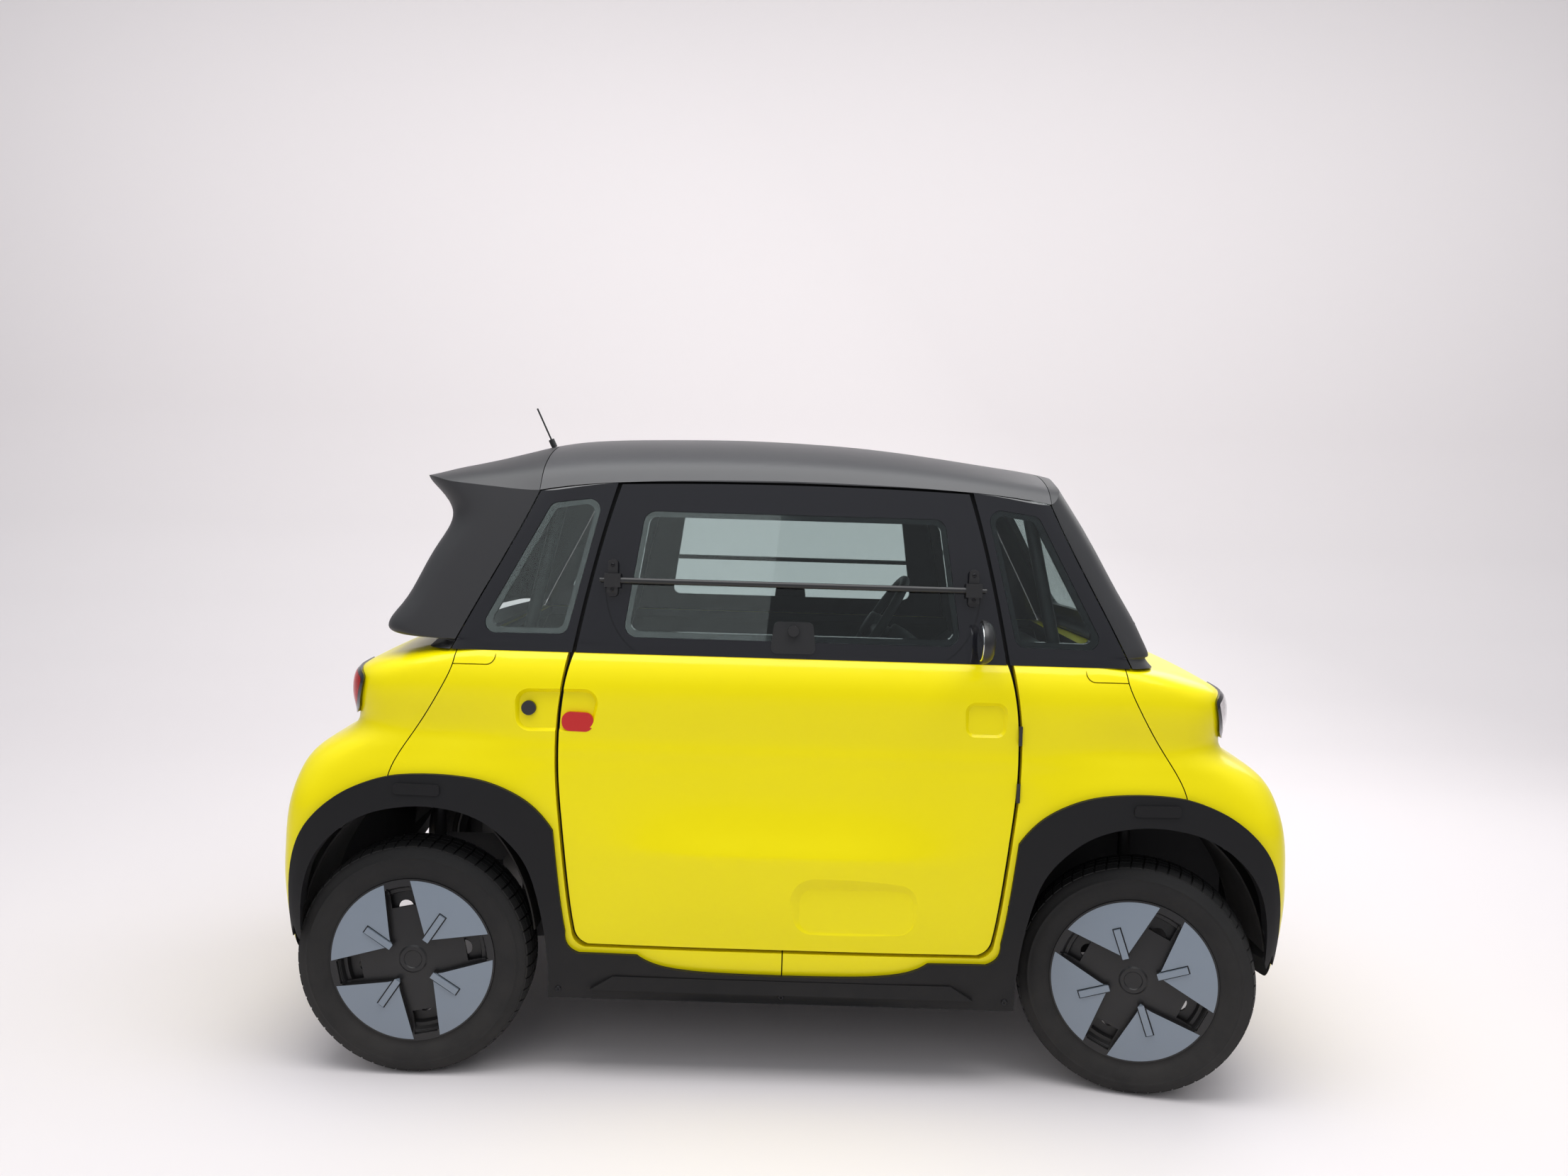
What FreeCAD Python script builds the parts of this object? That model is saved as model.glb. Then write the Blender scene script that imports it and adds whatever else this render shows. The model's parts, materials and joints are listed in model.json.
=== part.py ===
# A two-seat electric microcar, built from its real pieces: a tubular frame and floor tub, a body
# of four quarter panels with identical nose and tail shells, two identical doors hung opposite
# ways round, a glazed upper cabin under a moulded roof, and four small road wheels.
# Frame: X forward, Y to the car's left, Z up, origin on the ground midway along the body.
import FreeCAD, Part
import math
import os

V = FreeCAD.Vector

# Overall and running gear
body_half_length = 1205.0
axle_front_x = 854.0
axle_rear_x = -874.0
track_half = 590.0
tyre_radius = 278.5
tyre_width = 155.0
rim_radius = 181.0
cover_radius = 195.0
steering_offset = 25.0        # steering axis inboard of the wheel's centre plane
steer_at_rest = -14.0         # degrees about Z; the front wheels are parked turned to the right
wheelhouse_radius = 300.0
wheelhouse_top = 585.0
wheelhouse_wall = 10.0

# Heights up the body side
sill_bottom_z = 197.0
sill_top_z = 309.0
door_bottom_z = 332.0
bumper_bottom_z = 255.0
belt_z = 1018.0
rail_z = 1418.0               # top edge of the door
corner_rail_z = 1396.0        # top edge of the quarter windows at their outer corners
roof_top_z = 1536.0

# Widths
belt_half_width = 632.0
rail_half_width = 570.0
corner_radius_low = 82.0      # plan corners of nose and tail, at wheel height
corner_radius_high = 135.0    # and above the bumper

# Door hinge, at the front edge of the right door and the rear edge of the left one
door_hinge_x = 539.5
door_hinge_y = 666.0

# Walls, gaps and clearances
panel_gap = 9.0               # round the doors
seam_gap = 2.5                # between fixed panels
seat_clearance = 0.3          # between a piece and what carries it
door_wall = 42.0
rail_y = 556.0                 # middle of the frame's side rails and posts
post_radius = 18.0
side_wall = 30.0
shell_wall = 14.0
upper_wall = 26.0
glass_thickness = 5.0
roof_wall = 18.0
arch_proud = 13.0             # how far the arch and sill trim stands off the body skin


# General shape tools

def spline(points, closed=False):
    curve = Part.BSplineCurve()
    curve.interpolate(Points=points, PeriodicFlag=closed)
    return curve.toShape()


def xz(points, y=0.0):
    return [V(x, y, z) for x, z in points]


def line(a, b):
    return Part.makeLine(a, b)


def outline_face(edges):
    return Part.Face(Part.Wire(Part.__sortEdges__(edges)))


def polygon_face(points):
    return Part.Face(Part.makePolygon(points + [points[0]]))


def side_prism(face, inner_y, outer_y):
    """A face drawn in the plane Y = 0, run from one Y to another."""
    moved = face.copy()
    moved.translate(V(0, inner_y, 0))
    return moved.extrude(V(0, outer_y - inner_y, 0))


def box(low, high):
    return Part.makeBox(high[0] - low[0], high[1] - low[1], high[2] - low[2], V(*low))


def tube_between(a, b, radius):
    a, b = V(*a), V(*b)
    return Part.makeCylinder(radius, (b - a).Length, a, b - a)


def bar_between(a, b, width, height):
    """A rectangular section member whose centre line runs from a to b, its height nearest to Z."""
    a, b = V(*a), V(*b)
    along = (b - a).normalize()
    side = along.cross(V(0, 0, 1)) if abs(along.z) < 0.95 else V(0, 1, 0)
    side.normalize()
    up = side.cross(along).normalize()
    corners = [a + side * (s * width / 2) + up * (t * height / 2)
               for s, t in ((-1, -1), (1, -1), (1, 1), (-1, 1))]
    return polygon_face(corners).extrude(V(*b) - V(*a))


def fuse(shapes):
    result = shapes[0].multiFuse(shapes[1:]) if len(shapes) > 1 else shapes[0]
    return result.removeSplitter()


def cut(shape, *tools):
    return shape.cut(list(tools)) if tools else shape


def half_turn(shape):
    turned = shape.copy()
    turned.rotate(V(0, 0, 0), V(0, 0, 1), 180)
    return turned


def mirrored(shape):
    return shape.mirror(V(0, 0, 0), V(0, 1, 0))


def fore_aft(shape):
    return shape.mirror(V(0, 0, 0), V(1, 0, 0))


def solids(shape):
    return Part.makeCompound(shape.Solids)


def largest(shape):
    return max(shape.Solids, key=lambda s: s.Volume)


def moved(shape, x, y, z=0.0):
    copy = shape.copy()
    copy.translate(V(x, y, z))
    return copy


def shift_outline(points, distance):
    """Moves a run of XZ points sideways: positive to the left of the way they run."""
    moved = []
    for i, (x, z) in enumerate(points):
        ax, az = points[max(i - 1, 0)]
        bx, bz = points[min(i + 1, len(points) - 1)]
        length = math.hypot(bx - ax, bz - az)
        moved.append((x - (bz - az) / length * distance, z + (bx - ax) / length * distance))
    return moved


# Lower body: horizontal outlines stacked up Z. Nose and tail are the same.

def smooth(t):
    t = min(1.0, max(0.0, t))
    return t * t * (3 - 2 * t)


def between(table, z):
    """A value read from a table of (height, value) pairs, in straight lines."""
    for (z0, v0), (z1, v1) in zip(table, table[1:]):
        if z <= z1:
            return v0 + (v1 - v0) * (z - z0) / (z1 - z0)
    return table[-1][1]


nose_profile = [               # height, half length of the body there
    (sill_bottom_z, body_half_length - 62), (bumper_bottom_z, body_half_length - 40),
    (320, body_half_length - 18), (400, body_half_length - 6), (480, body_half_length),
    (530, body_half_length - 1), (553, body_half_length - 2), (562, body_half_length - 2.4),
    (578, body_half_length - 3), (605, body_half_length - 5), (650, body_half_length - 12),
    (705, body_half_length - 25),
    (745, body_half_length - 42), (772, body_half_length - 66), (792, body_half_length - 96),
    (810, body_half_length - 128), (828, body_half_length - 146), (850, body_half_length - 152),
    (885, body_half_length - 147), (925, body_half_length - 146), (955, body_half_length - 154),
    (978, body_half_length - 176), (995, body_half_length - 215), (1008, body_half_length - 262),
    (belt_z, body_half_length - 310)]
side_profile = [               # height, half width of the body there
    (sill_bottom_z, 640), (bumper_bottom_z, 650), (320, 658), (400, 663), (500, 665), (585, 665),
    (650, 663), (705, 661), (745, 660), (772, 659), (792, 659), (810, 658), (828, 658),
    (850, 659), (885, 661), (925, 662), (955, 660), (978, 655), (995, 648), (1008, 640),
    (belt_z, belt_half_width)]
flare_out = 20.0               # extra half width over the wheels
flare_top_z = 835.0
flare_middle_z = 640.0
ridge_out = 17.0               # extra half width of the door below its ridge
ridge_z = 557.0
ridge_half_length = 350.0
ridge_profile = [(250, 0.2), (320, 0.45), (400, 0.72), (480, 0.92), (530, 0.99), (553, 1.0), (562, 0.93),
                 (578, 0.72), (605, 0.42), (650, 0.12), (705, 0.0), (1100, 0.0)]
waist_in = 7.0                 # how far the fenders draw in above the wheels
nose_bow = 14.0                # how far the nose stands forward at its middle


def side_half_width(x, z):
    x = abs(x)
    over_wheel = smooth((x - 470) / 330)
    height_share = smooth((flare_top_z - z) / (flare_top_z - flare_middle_z)) * smooth((z - 150) / 250)
    along_door = 1 - smooth((x - ridge_half_length + 75) / 150)
    waist = waist_in * smooth((x - 600) / 220) * math.exp(-((z - 838) / 52) ** 2)
    return between(side_profile, z) + flare_out * over_wheel * height_share \
        + ridge_out * along_door * between(ridge_profile, z) - waist


def closed_curve(points, pattern):
    """A smooth closed curve through points, its parameters spaced as the pattern's points are."""
    steps = [math.sqrt(a.distanceToPoint(b)) for a, b in zip(pattern, pattern[1:] + pattern[:1])]
    total = sum(steps)
    at = [0.0]
    for step in steps:
        at.append(at[-1] + step / total)
    curve = Part.BSplineCurve()
    curve.interpolate(Points=points, PeriodicFlag=True, Parameters=at)
    return Part.Wire(curve.toShape())


def body_points(z, inset_x=0.0, inset_y=0.0, read_z=None):
    """Points round the closed outline of the body at height z."""
    level = z if read_z is None else read_z
    reach = between(nose_profile, level) - inset_x
    bow = nose_bow * smooth((reach - 700) / 300) + 22 * smooth((level - 960) / 60)
    radius = corner_radius_low + (corner_radius_high - corner_radius_low) * smooth((level - 640) / 190)
    radius = max(30.0, radius - inset_x)
    centre_x = reach - bow - radius
    quarter = []
    for share in (0.0, 0.16, 0.32, 0.46, 0.58, 0.68, 0.78, 0.88, 1.0):
        x = centre_x * share
        quarter.append((x, side_half_width(x, level) - inset_y))
    corner_y = quarter[-1][1] - radius
    for angle in (72, 54, 36, 18, 0):
        turn = math.radians(angle)
        quarter.append((centre_x + radius * math.cos(turn), corner_y + radius * math.sin(turn)))
    for share in (0.72, 0.48, 0.24, 0.0):
        y = corner_y * share
        quarter.append((reach - bow * share * share, y))
    back = [(-x, y) for x, y in reversed(quarter[1:])]
    left = back + quarter          # tail middle, round the left side, to nose middle
    right = [(x, -y) for x, y in reversed(left[1:-1])]
    return [V(x, y, z) for x, y in left + right]


body_pattern = body_points(500.0)


def body_outline(z, inset_x=0.0, inset_y=0.0, read_z=None):
    return closed_curve(body_points(z, inset_x, inset_y, read_z), body_pattern)


def body_solid(inset_x=0.0, inset_y=0.0, drop=0.0, low=None):
    """The lower body as one solid, or its inside when inset and dropped by a wall."""
    wires = []
    for z, _ in nose_profile:
        if inset_x > 0 or inset_y > 0:
            level = z - drop if z > 900 else z
            if z == sill_bottom_z:
                level = z - 30
            wires.append(body_outline(level, inset_x, inset_y, z))
        else:
            wires.append(body_outline(z, inset_x, inset_y))
    return Part.makeLoft(wires, True, False)


# Side outlines, drawn for the right side looking in; front half, +X to the nose

door_gap_line = [(513, 1018), (529, 951), (539, 877), (542, 800), (539, 715), (531, 635),
                 (522, 555), (513, 480), (504, 415), (495, 365)]
door_top_half = 415.0
door_belt_half = 513.0
seam_line = [(787, 1018), (791, 985), (811, 938), (840, 886), (871, 837), (902, 789),
             (923, 751), (934, 719)]
arch_outer = [(531, 580), (559, 623), (600, 665), (652, 696), (715, 718), (768, 726),
              (821, 729), (875, 728), (930, 722), (985, 706), (1038, 681), (1090, 640),
              (1125, 596), (1146, 550), (1158, 495), (1162, 440), (1161, 380), (1155, 303)]
arch_inner = [(552, 200), (554, 304), (564, 381), (582, 459), (611, 531), (652, 581),
              (698, 618), (751, 642), (804, 653), (857, 656), (910, 651), (965, 638),
              (1014, 615), (1060, 580), (1097, 533), (1118, 478), (1127, 420), (1131, 303)]
door_corner_radius = 36.0
middle_seam = 3.0              # half the gap between the sill inserts at the car's middle


def door_edges(offset):
    """The front edge of the door outline from belt to bottom corner, moved out by offset."""
    return shift_outline(door_gap_line, offset)


def door_outline(offset, top_z=belt_z):
    """The door's lower outline as a face; offset is measured outwards from the gap's middle."""
    front = door_edges(offset)
    front[0] = (front[0][0], belt_z + max(0.0, offset) * 8)
    low_z = door_bottom_z - panel_gap / 2 - offset
    x_end, z_end = front[-1]
    toe = (x_end - door_corner_radius * 0.9, low_z)
    nip = (x_end - 9, low_z + 15)
    half = xz(front)
    edges = []
    for side in (1, -1):
        flip = [V(p.x * side, 0, p.z) for p in half]
        edges.append(spline(flip))
        corner = spline([V(x_end * side, 0, z_end), V(nip[0] * side, 0, nip[1]), V(toe[0] * side, 0, toe[1])])
        edges.append(corner)
    edges.append(line(V(-toe[0], 0, low_z), V(toe[0], 0, low_z)))
    edges.append(line(V(-front[0][0], 0, front[0][1]), V(front[0][0], 0, front[0][1])))
    return outline_face(edges)


def closed_shape(runs):
    """A face from runs of XZ points: a run of two is a straight edge, a longer one a curve."""
    edges = []
    for run in runs:
        points = xz(run)
        edges.append(line(points[0], points[1]) if len(points) == 2 else spline(points))
    return outline_face(edges)


def rounded_face(corners, radius):
    """A polygon in XZ with its corners rounded by arcs."""
    count = len(corners)
    edges = []
    ends = []
    for i in range(count):
        before, here, after = corners[i - 1], corners[i], corners[(i + 1) % count]
        a = V(before[0] - here[0], 0, before[1] - here[1]).normalize()
        b = V(after[0] - here[0], 0, after[1] - here[1]).normalize()
        half = a.getAngle(b) / 2
        reach = radius / math.tan(half)
        point = V(here[0], 0, here[1])
        middle = V(a.x + b.x, 0, a.z + b.z).normalize()
        summit = point + middle * (radius / math.sin(half) - radius)
        start, stop = point + a * reach, point + b * reach
        edges.append(Part.Arc(start, summit, stop).toShape())
        ends.append((start, stop))
    for i in range(count):
        edges.append(line(ends[i - 1][1], ends[i][0]))
    return outline_face(edges)


FAR = 900.0


def both_sides(face, depth=420.0):
    """Tools that cut a side outline through the right and the left body side only."""
    return [side_prism(face, -depth, -FAR), side_prism(face, depth, FAR)]


def right_side(face, depth=420.0):
    return side_prism(face, -depth, -FAR)


# The lower body skin and the trim band that stands off it

body = body_solid()
body_inside = body_solid(shell_wall, side_wall, 22.0)
body_shell = body.cut(body_inside)

lip_width = 13.0
trim_low_z = 303.0
door_opening = door_outline(panel_gap / 2)
lip_outline = door_outline(panel_gap / 2 + lip_width)
mirror_x = FreeCAD.Placement(V(0, 0, 0), FreeCAD.Rotation(V(0, 0, 1), 180))


def turned(points):
    return [(-x, z) for x, z in points]


def arch_face(points, low):
    """An arch outline closed below, down to the height low."""
    first, last = points[0], points[-1]
    return closed_shape([points, [last, (last[0], low)], [(last[0], low), (first[0], low)],
                         [(first[0], low), first]])


seam_end = seam_line[-1]
nose_zone = closed_shape([[(seam_line[0][0], belt_z + 60), seam_line[0]], seam_line,
                          [seam_end, (seam_end[0], 100)], [(seam_end[0], 100), (1400, 100)],
                          [(1400, 100), (1400, belt_z + 60)],
                          [(1400, belt_z + 60), (seam_line[0][0], belt_z + 60)]])
seam_strip = shift_outline(seam_line, -seam_gap)
quarter_zone = closed_shape([[(470, belt_z + 60), (seam_strip[0][0], belt_z + 60)],
                             [(seam_strip[0][0], belt_z + 60), seam_strip[0]], seam_strip,
                             [seam_strip[-1], (seam_strip[-1][0], 262)],
                             [(seam_strip[-1][0], 262), (middle_seam / 2, 262)],
                             [(middle_seam / 2, 262), (middle_seam / 2, 400)],
                             [(middle_seam / 2, 400), (470, belt_z + 60)]])
arch_outer_face = arch_face(arch_outer, 100)
arch_inner_face = arch_face(arch_inner, 100)
# Room for the wheels: the rear one's own disc, and the ball that a steered front one sweeps
wheel_room_clearance = 9.0
tyre_outer_y = track_half + tyre_width / 2
sweep_radius = math.hypot(tyre_radius, tyre_outer_y - track_half + steering_offset) + wheel_room_clearance
disc_room = tube_between((-axle_rear_x, -380, tyre_radius), (-axle_rear_x, -tyre_outer_y - wheel_room_clearance * 0.7,
                         tyre_radius), tyre_radius + wheel_room_clearance)
ball_room = Part.makeSphere(sweep_radius, V(axle_front_x, -(track_half - steering_offset), tyre_radius))
wheel_room = disc_room.fuse(ball_room)

cabin_hole_half_x = 772.0
cabin_hole_half_y = belt_half_width - side_wall - 4.0
cabin_hole = box((-cabin_hole_half_x, -cabin_hole_half_y, belt_z - 40),
                 (cabin_hole_half_x, cabin_hole_half_y, belt_z + 40))

trim_blank = body_solid(0.0, -arch_proud).cut(body_solid(shell_wall, side_wall - 4.0, 22.0))
sill_box = box((-560, -FAR, sill_bottom_z - 5), (560, FAR, sill_top_z + 8))
arch_band = right_side(arch_outer_face).cut(box((0, -FAR - 5, 90), (1300, 0, trim_low_z)))
trim_zone = fuse([arch_band.cut(box((-10, -FAR - 5, 90), (540, 0, 335))),
                  box((0, -FAR, sill_bottom_z - 5), (arch_inner[0][0], -420, sill_top_z + 8)),
                  box((400, -FAR, sill_bottom_z - 5), (arch_inner[0][0] + 20, -420, 560))])
lobe_line = [(-352, 340), (-332, 314), (-300, 294), (-240, 279), (-150, 271), (0, 269), (150, 271), (250, 278),
             (310, 292), (345, 312), (366, 340)]
lobe = closed_shape([lobe_line, [lobe_line[-1], lobe_line[0]]])
trim_zone = trim_zone.cut([right_side(arch_inner_face, 400), right_side(lip_outline, 400), right_side(lobe, 400)])
trim_zone = trim_zone.cut(box((0, -FAR - 5, 90), (1300, 0, sill_bottom_z)))
trim_front = trim_blank.common(trim_zone)
trim_rear = trim_blank.common(fore_aft(trim_zone))

# A moulded rib along the sill and a reflector-sized pad on top of each arch
rib_face = closed_shape([[(-452, 223), (452, 223)], [(452, 223), (398, 257)], [(398, 257), (-398, 257)],
                         [(-398, 257), (-452, 223)]])
rib = side_prism(rib_face, -630, -side_half_width(0, 240) - arch_proud - 6)
pad_face = rounded_face([(806, 681), (914, 683), (914, 708), (806, 706)], 9)
pad = side_prism(pad_face, -664, -side_half_width(860, 695) - arch_proud - 5)
side_trim_right = fuse([largest(trim_front), largest(trim_rear), rib, pad, fore_aft(pad)])
side_trim_right = largest(side_trim_right.cut([wheel_room, fore_aft(wheel_room)]))
arch_cut_front = right_side(arch_outer_face)

lower_cut = box((-1300, -FAR, 90), (1300, FAR, bumper_bottom_z))
arch_hole = right_side(arch_inner_face, 300)
nose_tool = side_prism(nose_zone, -FAR, FAR)
nose_panel = largest(body_shell.common(nose_tool).cut(
    [cabin_hole, lower_cut, trim_zone, mirrored(trim_zone), arch_hole, mirrored(arch_hole),
     wheel_room, mirrored(wheel_room)]))
tail_panel = half_turn(nose_panel)
quarter_tool = right_side(quarter_zone, 300)
quarter_front_right = largest(body_shell.common(quarter_tool).cut(
    [cabin_hole, trim_zone, arch_hole, right_side(door_opening, 300)]))
quarter_rear_right = fore_aft(quarter_front_right)
quarter_front_left = mirrored(quarter_front_right)
quarter_rear_left = half_turn(quarter_front_right)

# Pockets pressed into the outer skin, with walls that slope in


def tapered_pocket(corners, radius, slope, surface_y, depth):
    """A tool that presses a rounded outline in from the side; it grows outwards at the same slope."""
    middle_x = sum(x for x, _ in corners) / len(corners)
    middle_z = sum(z for _, z in corners) / len(corners)
    reach_x = max(abs(x - middle_x) for x, _ in corners)
    reach_z = max(abs(z - middle_z) for _, z in corners)
    over = 12.0

    def ring(offset, y):
        points = [(middle_x + (x - middle_x) * (1 + offset / reach_x),
                   middle_z + (z - middle_z) * (1 + offset / reach_z)) for x, z in corners]
        face = rounded_face(points, max(3.0, radius + offset))
        face.translate(V(0, y, 0))
        return face.OuterWire

    growth = slope * over / depth
    return Part.makeLoft([ring(growth, -surface_y - over), ring(-slope, -surface_y + depth)], True, True)


recess_z0, recess_z1 = 831.0, 937.0
handle_recess_y = side_half_width(560, 880)
handle_recess = tapered_pocket([(460, recess_z0 + 4), (640, recess_z0), (640, recess_z1 - 4), (440, recess_z1)],
                               34, 9, handle_recess_y, 11)
handle_recess_rear = fore_aft(handle_recess)
lock_x, lock_z, lock_radius = -609.0, 888.0, 17.0
quarter_rear_right = quarter_rear_right.cut(handle_recess_rear)
cover_ring = rounded_face([(690, 985), (860, 985), (860, 1090), (690, 1090)], 22).cut(
    rounded_face([(692.5, 987.5), (857.5, 987.5), (857.5, 1087.5), (692.5, 1087.5)], 20))
cover_groove = side_prism(cover_ring, -side_half_width(740, 1000) + 7, -FAR)
quarter_front_right = quarter_front_right.cut(cover_groove)
quarter_rear_right = quarter_rear_right.cut(fore_aft(cover_groove))
quarter_front_left = half_turn(quarter_rear_right)
quarter_rear_left = half_turn(quarter_front_right)

# Doors: one part, used on the right hinged at its front and on the left hinged at its rear

door_face = door_outline(-panel_gap / 2)
hinge_pin_radius = 4.5
hinge_heights = ((700, 745), (835, 880))
hinge_pins = [tube_between((door_hinge_x, -door_hinge_y, low), (door_hinge_x, -door_hinge_y, high), hinge_pin_radius)
              for low, high in hinge_heights]
hinge_bores = [tube_between((door_hinge_x, -door_hinge_y, low - 2), (door_hinge_x, -door_hinge_y, high + 2),
                            hinge_pin_radius + seat_clearance) for low, high in hinge_heights]
hinge_arms = [box((door_hinge_x - 2, -door_hinge_y, low + 6), (door_hinge_x + 2, -door_hinge_y + 70, high - 6))
              for low, high in hinge_heights]
hinge_feet = [box((door_hinge_x - 2, -door_hinge_y + 66, low + 6),
                  (door_hinge_x + 34, -rail_y - post_radius - seat_clearance, high - 6))
              for low, high in hinge_heights]
hinges_right = Part.makeCompound([fuse([a, b, c]) for a, b, c in zip(hinge_pins, hinge_arms, hinge_feet)])
door_shell_right = body_shell.common(right_side(door_face)).cut(
    box((-FAR, -cabin_hole_half_y, belt_z - 40), (FAR, 0, belt_z + 40)))
lower_emboss = tapered_pocket([(17, 358), (324, 358), (324, 501), (17, 501)], 52, 20,
                              side_half_width(170, 450), 9)
square_cup = tapered_pocket([(411, 848), (508, 848), (508, 932), (411, 932)], 24, 8, side_half_width(460, 890), 8)
door_shell_right = largest(door_shell_right.cut(hinge_bores + [handle_recess_rear, lower_emboss, square_cup]))
quarter_front_right = largest(quarter_front_right.cut(hinge_bores))
quarter_rear_left = half_turn(quarter_front_right)

recess_floor_y = -handle_recess_y + 11
lock_barrel = Part.makeCylinder(lock_radius, 9, V(lock_x, recess_floor_y - seat_clearance, lock_z), V(0, -1, 0))
lock_barrel = lock_barrel.cut(Part.makeCylinder(lock_radius - 4, 3, V(lock_x, recess_floor_y - 9.3, lock_z), V(0, -1, 0)))
pull_face = rounded_face([(-531, 837), (-457, 835), (-457, 880), (-531, 882)], 20)
door_pull_right = side_prism(pull_face, recess_floor_y - seat_clearance, recess_floor_y - 9)
door_pull_right = largest(door_pull_right.cut(door_shell_right))

# Upper cabin

front_reach = [(1018, 905), (1069, 888), (1127, 860), (1196, 819), (1275, 775), (1336, 740),
               (1390, 706), (1424, 684), (1460, 661), (1500, 634), (1560, 592)]
rear_reach = [(1018, 905), (1045, 975), (1069, 1008), (1085, 1002), (1116, 978), (1187, 938),
              (1262, 899), (1336, 868), (1390, 902), (1424, 930), (1460, 915), (1500, 890), (1560, 850)]
rear_inside = [(1018, 880), (1045, 925), (1069, 945), (1090, 946), (1116, 940), (1187, 908), (1262, 870),
               (1336, 834), (1390, 808), (1424, 791), (1460, 770), (1500, 744), (1560, 700)]
cabin_width = [(1018, belt_half_width), (rail_z, rail_half_width), (1560, rail_half_width - 22)]
cabin_levels = [1018, 1045, 1069, 1090, 1116, 1187, 1262, 1336, 1390, 1424, 1460, 1500, 1560]
cabin_corner = 75.0
cabin_bow = 42.0


def cabin_points(z, inset=0.0):
    width = between(cabin_width, z) - inset
    radius = cabin_corner - inset * 0.6
    front, rear = between(front_reach, z) - inset, between(rear_reach, z)
    if inset > 0:
        rear = between(rear_inside, z)
    left = []
    for reach, way in ((rear, -1), (front, 1)):
        centre_x = reach - cabin_bow - radius
        half = [((centre_x * s) * way, width) for s in (0.3, 0.6, 0.85, 1.0)]
        for angle in (67, 45, 23, 0):
            turn = math.radians(angle)
            half.append(((centre_x + radius * math.cos(turn)) * way,
                         width - radius + radius * math.sin(turn)))
        for s in (0.7, 0.4, 0.0):
            half.append(((reach - cabin_bow * s * s) * way, (width - radius) * s))
        left += half[::-1] if way < 0 else half
    right = [(x, -y) for x, y in reversed(left[1:-1])]
    points = [V(x, y, z) for x, y in left + right]
    return points[5:] + points[:5]          # the seam runs down a rear corner, clear of the windows


cabin_pattern = cabin_points(1187.0)


def cabin_outline(z, inset=0.0):
    return closed_curve(cabin_points(z, inset), cabin_pattern)


def cabin_block(inset=0.0):
    levels = [belt_z + seat_clearance - (30 if inset > 0 else 0)] + cabin_levels[1:]
    return Part.makeLoft([cabin_outline(z, inset) for z in levels], True, False)


crown_line = [(-960, 1432), (-880, 1432), (-826, 1454), (-750, 1478), (-683, 1496), (-607, 1518),
              (-489, 1533), (-320, 1540), (-151, 1543), (18, 1540), (187, 1530), (357, 1512),
              (527, 1490), (620, 1476), (720, 1458), (760, 1452)]
edge_line = [(-960, 1420), (-880, 1418), (-760, 1404), (-600, 1397), (-415, 1418), (-200, 1425),
             (0, 1427), (200, 1425), (415, 1418), (600, 1396), (760, 1380)]


def roof_section(x, drop=0.0):
    edge, crown = between(edge_line, x) - drop, between(crown_line, x) - drop
    rise = crown - edge
    half = [(680, edge - 130), (620, edge - 54), (572, edge), (545, edge + 0.3 * rise), (490, edge + 0.58 * rise),
            (400, edge + 0.8 * rise), (250, edge + 0.94 * rise)]
    points = [V(x, -y, z) for y, z in half] + [V(x, 0, crown)] + [V(x, y, z) for y, z in reversed(half)]
    low = 930.0
    edges = [spline(points), line(points[-1], V(x, 720, low)), line(V(x, 720, low), V(x, -720, low)),
             line(V(x, -720, low), points[0])]
    return Part.Wire(edges)


def under_roof(drop=0.0):
    stations = (-960, -880, -800, -700, -607, -489, -320, -150, 0, 187, 357, 527, 620, 760)
    wires = [roof_section(x, drop) for x in stations]
    wires[0].translate(V(-100, 0, 0))
    wires[-1].translate(V(200, 0, 0))
    return Part.makeLoft(wires, True, False)


cabin = cabin_block().common(under_roof())
cabin_inside = cabin_block(upper_wall).common(under_roof(roof_wall))
cabin_shell = cabin.cut(cabin_inside)

front_pillar_seam = [(606, 1394), (648, 1307), (695, 1218), (743, 1129), (803, 1012)]
roof_front_seam = [(606, 1394), (597, 1600)]
rail_curve = [(606, 1394), (510, 1409), (418, 1417), (243, 1424), (95, 1426), (0, 1427), (-95, 1426),
              (-243, 1424), (-418, 1417), (-510, 1409), (-606, 1394)]
roof_rail = [(x, z + seam_gap) for x, z in rail_curve]
roof_zone = closed_shape([roof_rail, [roof_rail[-1], (-597, 1620)], [(-597, 1620), (597, 1620)],
                          [(597, 1620), roof_rail[0]]])
roof_panel = largest(cabin_shell.common(side_prism(roof_zone, -FAR, FAR)))

pillar_seam = [(x + seam_gap * 0.5, z) for x, z in front_pillar_seam]
front_zone = closed_shape([[pillar_seam[0], (597 + 2 * seam_gap, 1620)], pillar_seam,
                           [pillar_seam[-1], (pillar_seam[-1][0], 960)],
                           [(pillar_seam[-1][0], 960), (1100, 960)], [(1100, 960), (1100, 1620)],
                           [(1100, 1620), (597 + 2 * seam_gap, 1620)]])
front_part = cabin_shell.common(side_prism(front_zone, -FAR, FAR))
rear_part = cabin_shell.common(fore_aft(side_prism(front_zone, -FAR, FAR)))


def end_opening(low_half, top_half, low_z, top_z, radius, back, ahead):
    """A rounded window outline seen from the end of the car, as a tool along X."""
    face = rounded_face([(-low_half, low_z), (low_half, low_z), (top_half, top_z), (-top_half, top_z)], radius)
    face.rotate(V(0, 0, 0), V(0, 0, 1), 90)
    face.translate(V(back, 0, 0))
    return face.extrude(V(ahead - back, 0, 0))


def outer_skin(zone, toward):
    """The part of the cabin's outside that lies in a zone and faces a way."""
    block = largest(cabin.common(zone))
    faces = []
    for face in block.Faces:
        at = face.CenterOfMass
        u, v = face.Surface.parameter(at)
        if at.sub(block.CenterOfMass).dot(toward) > 0 and abs(face.normalAt(u, v).dot(toward)) > 0.55:
            faces.append(face)
    return faces


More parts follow.
